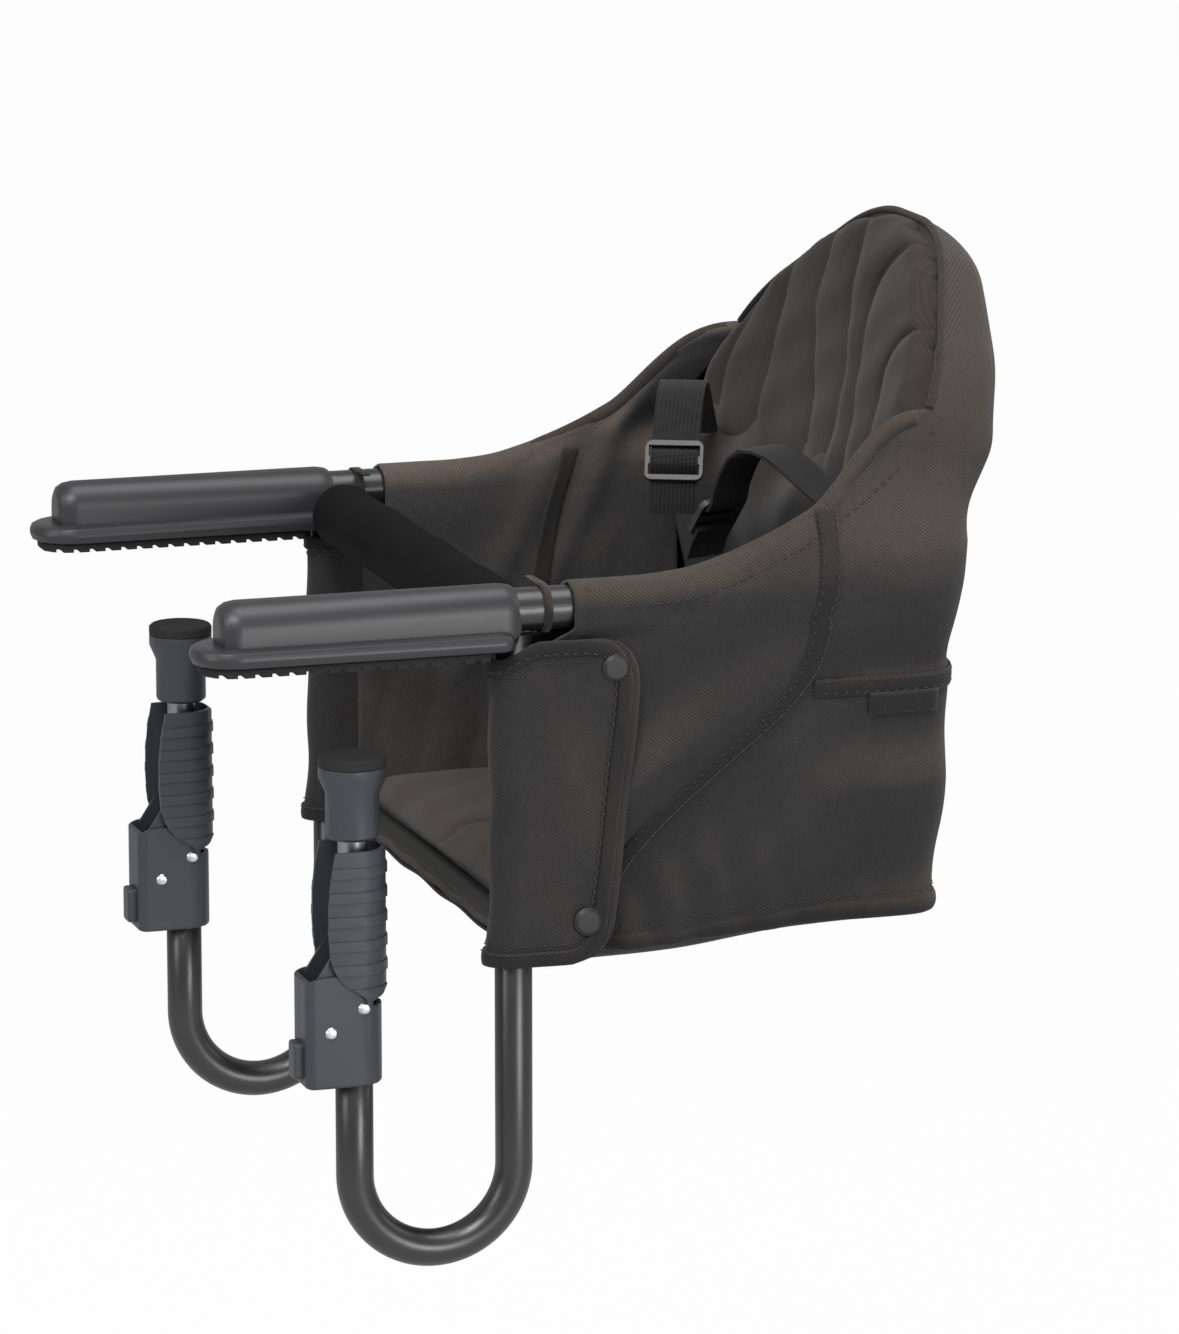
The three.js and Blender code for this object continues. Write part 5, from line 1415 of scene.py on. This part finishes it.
class CHAIR_OT_make_harness(ChairOperator, bpy.types.Operator):
    """Covers the harness straps with woven webbing and the tie bands with cloth tape"""

    bl_idname = "chair.make_harness"
    bl_label = "Harness webbing"

    def make(self, context):
        for node in STRAPS:
            body = "frame" if node == "crotch_strap" else "backrest"
            bm = node_copy(node)
            bmesh.ops.join_triangles(
                bm, faces=bm.faces, angle_face_threshold=0.3, angle_shape_threshold=3.2, cmp_seam=False
            )
            edges = [e for e in bm.edges if e.calc_face_angle(0.0) > 0.9]
            bmesh.ops.bevel(
                bm, geom=edges, offset=0.45, offset_type="OFFSET", segments=2, profile=0.5,
                affect="EDGES", material=-1, clamp_overlap=True,
            )
            strap = piece(f"woven_{node}", outward(bm), f"webbing_{node}", body, [node])
            crease = strap.modifiers.new("crease", "EDGE_SPLIT")
            crease.split_angle = math.radians(40)
        for side in SIDES:
            node = f"tie_band_{side}"
            bm = outward(node_copy(node))
            piece(f"cloth_{node}", bm, "bias_tape", "frame", [node])


class CHAIR_OT_set_stage(ChairOperator, bpy.types.Operator):
    """Sets the camera, the pale floor and soft studio light"""

    bl_idname = "chair.set_stage"
    bl_label = "Stage"

    CAMERA = (3.3919, -0.9899, 0.7148)
    YAW = math.radians(17.92)
    PITCH = math.radians(12.07)
    LENS = 187.3
    REFLECTED = 0.35
    AMBIENT = 0.30
    FLOOR_Z = -0.74
    FLOOR_GLOW = 0.97
    LIGHTS = (
        ("key", (2.2, -1.2, 2.6), (0, 0.1, 0), 1.5, 84.0),
        ("side", (3.3, 1.1, 0.1), (0, 0.1, -0.05), 1.25, 44.0),
        ("rear", (0.4, 3.2, 1.4), (0, 0.1, 0), 2.0, 18.0),
        ("front", (0.9, -3.0, 1.0), (-0.1, 0.1, 0), 1.4, 24.0),
        ("top", (0.5, 0.5, 3.0), (0, 0.1, 0), 2.0, 50.0),
    )

    def make(self, context):
        scene = context.scene
        lens = bpy.data.cameras.new("camera")
        lens.lens = self.LENS
        lens.sensor_width = 36.0
        lens.clip_end = 100.0
        camera = bpy.data.objects.new("camera", lens)
        scene.collection.objects.link(camera)
        camera.location = self.CAMERA
        flat = math.cos(self.PITCH)
        ahead = Vector((-math.cos(self.YAW) * flat, math.sin(self.YAW) * flat, -math.sin(self.PITCH)))
        camera.rotation_euler = ahead.to_track_quat("-Z", "Y").to_euler()
        scene.camera = camera
        self.floor(scene)
        self.lights(scene)
        scene.view_settings.view_transform = "Standard"

    def floor(self, scene):
        bm = bmesh.new()
        bmesh.ops.create_grid(bm, x_segments=1, y_segments=1, size=40.0)
        mesh = bpy.data.meshes.new("floor")
        bm.to_mesh(mesh)
        bm.free()
        plane = bpy.data.objects.new("floor", mesh)
        plane.location = (0, 0, self.FLOOR_Z)
        scene.collection.objects.link(plane)
        f = Finish("pale_floor")
        f.surface(colour=(0.62, 0.62, 0.62), roughness=0.9)
        glow = f.node("ShaderNodeEmission", {"Color": (1, 1, 1), "Strength": 1.0})
        f.show(f.shader, glow, f.seen(self.REFLECTED) * self.FLOOR_GLOW, "Material Output")
        mesh.materials.append(f.material)

    def lights(self, scene):
        for name, spot, aim, size, power in self.LIGHTS:
            lamp = bpy.data.lights.new(name, "AREA")
            lamp.size = size
            lamp.energy = power
            made = bpy.data.objects.new(name, lamp)
            made.location = spot
            made.rotation_euler = (Vector(aim) - Vector(spot)).to_track_quat("-Z", "Y").to_euler()
            scene.collection.objects.link(made)
        world = bpy.data.worlds.new("studio")
        scene.world = world
        world.use_nodes = True
        sky = Nodes(world.node_tree)
        ambient = sky.tree.nodes["Background"]
        ambient.inputs["Strength"].default_value = self.AMBIENT
        ambient.inputs["Color"].default_value = (1, 1, 1, 1)
        sky.show(ambient, sky.node("ShaderNodeBackground"), sky.seen(self.REFLECTED), "World Output")


class CHAIR_PT_pieces(bpy.types.Panel):
    """Lists what dresses the chair"""

    bl_idname = "CHAIR_PT_pieces"
    bl_label = "Table chair"
    bl_space_type = "VIEW_3D"
    bl_region_type = "UI"
    bl_category = "Table chair"

    def draw(self, context):
        scene = context.scene
        for group in (scene.chair_fabric, scene.chair_hardware, scene.chair_sizes):
            box = self.layout.box()
            for key in group.__annotations__:
                box.prop(group, key)
        for operator in OPERATORS:
            self.layout.operator(operator.bl_idname)


OPERATORS = (
    CHAIR_OT_set_stage,
    CHAIR_OT_finish_hardware,
    CHAIR_OT_make_hooks,
    CHAIR_OT_make_foam,
    CHAIR_OT_make_cloth,
    CHAIR_OT_make_back_pad,
    CHAIR_OT_make_lining,
    CHAIR_OT_make_seat,
    CHAIR_OT_make_flaps,
    CHAIR_OT_make_harness,
)
CLASSES = (FabricLook, HardwareLook, ClothSizes, *OPERATORS, CHAIR_PT_pieces)


def register():
    for kind in CLASSES:
        bpy.utils.register_class(kind)
    bpy.types.Scene.chair_fabric = PointerProperty(type=FabricLook)
    bpy.types.Scene.chair_hardware = PointerProperty(type=HardwareLook)
    bpy.types.Scene.chair_sizes = PointerProperty(type=ClothSizes)


def unregister():
    del bpy.types.Scene.chair_sizes
    del bpy.types.Scene.chair_hardware
    del bpy.types.Scene.chair_fabric
    for kind in reversed(CLASSES):
        bpy.utils.unregister_class(kind)


def main():
    register()
    for operator in OPERATORS:
        group, name = operator.bl_idname.split(".")
        getattr(getattr(bpy.ops, group), name)()


if __name__ == "__main__":
    main()
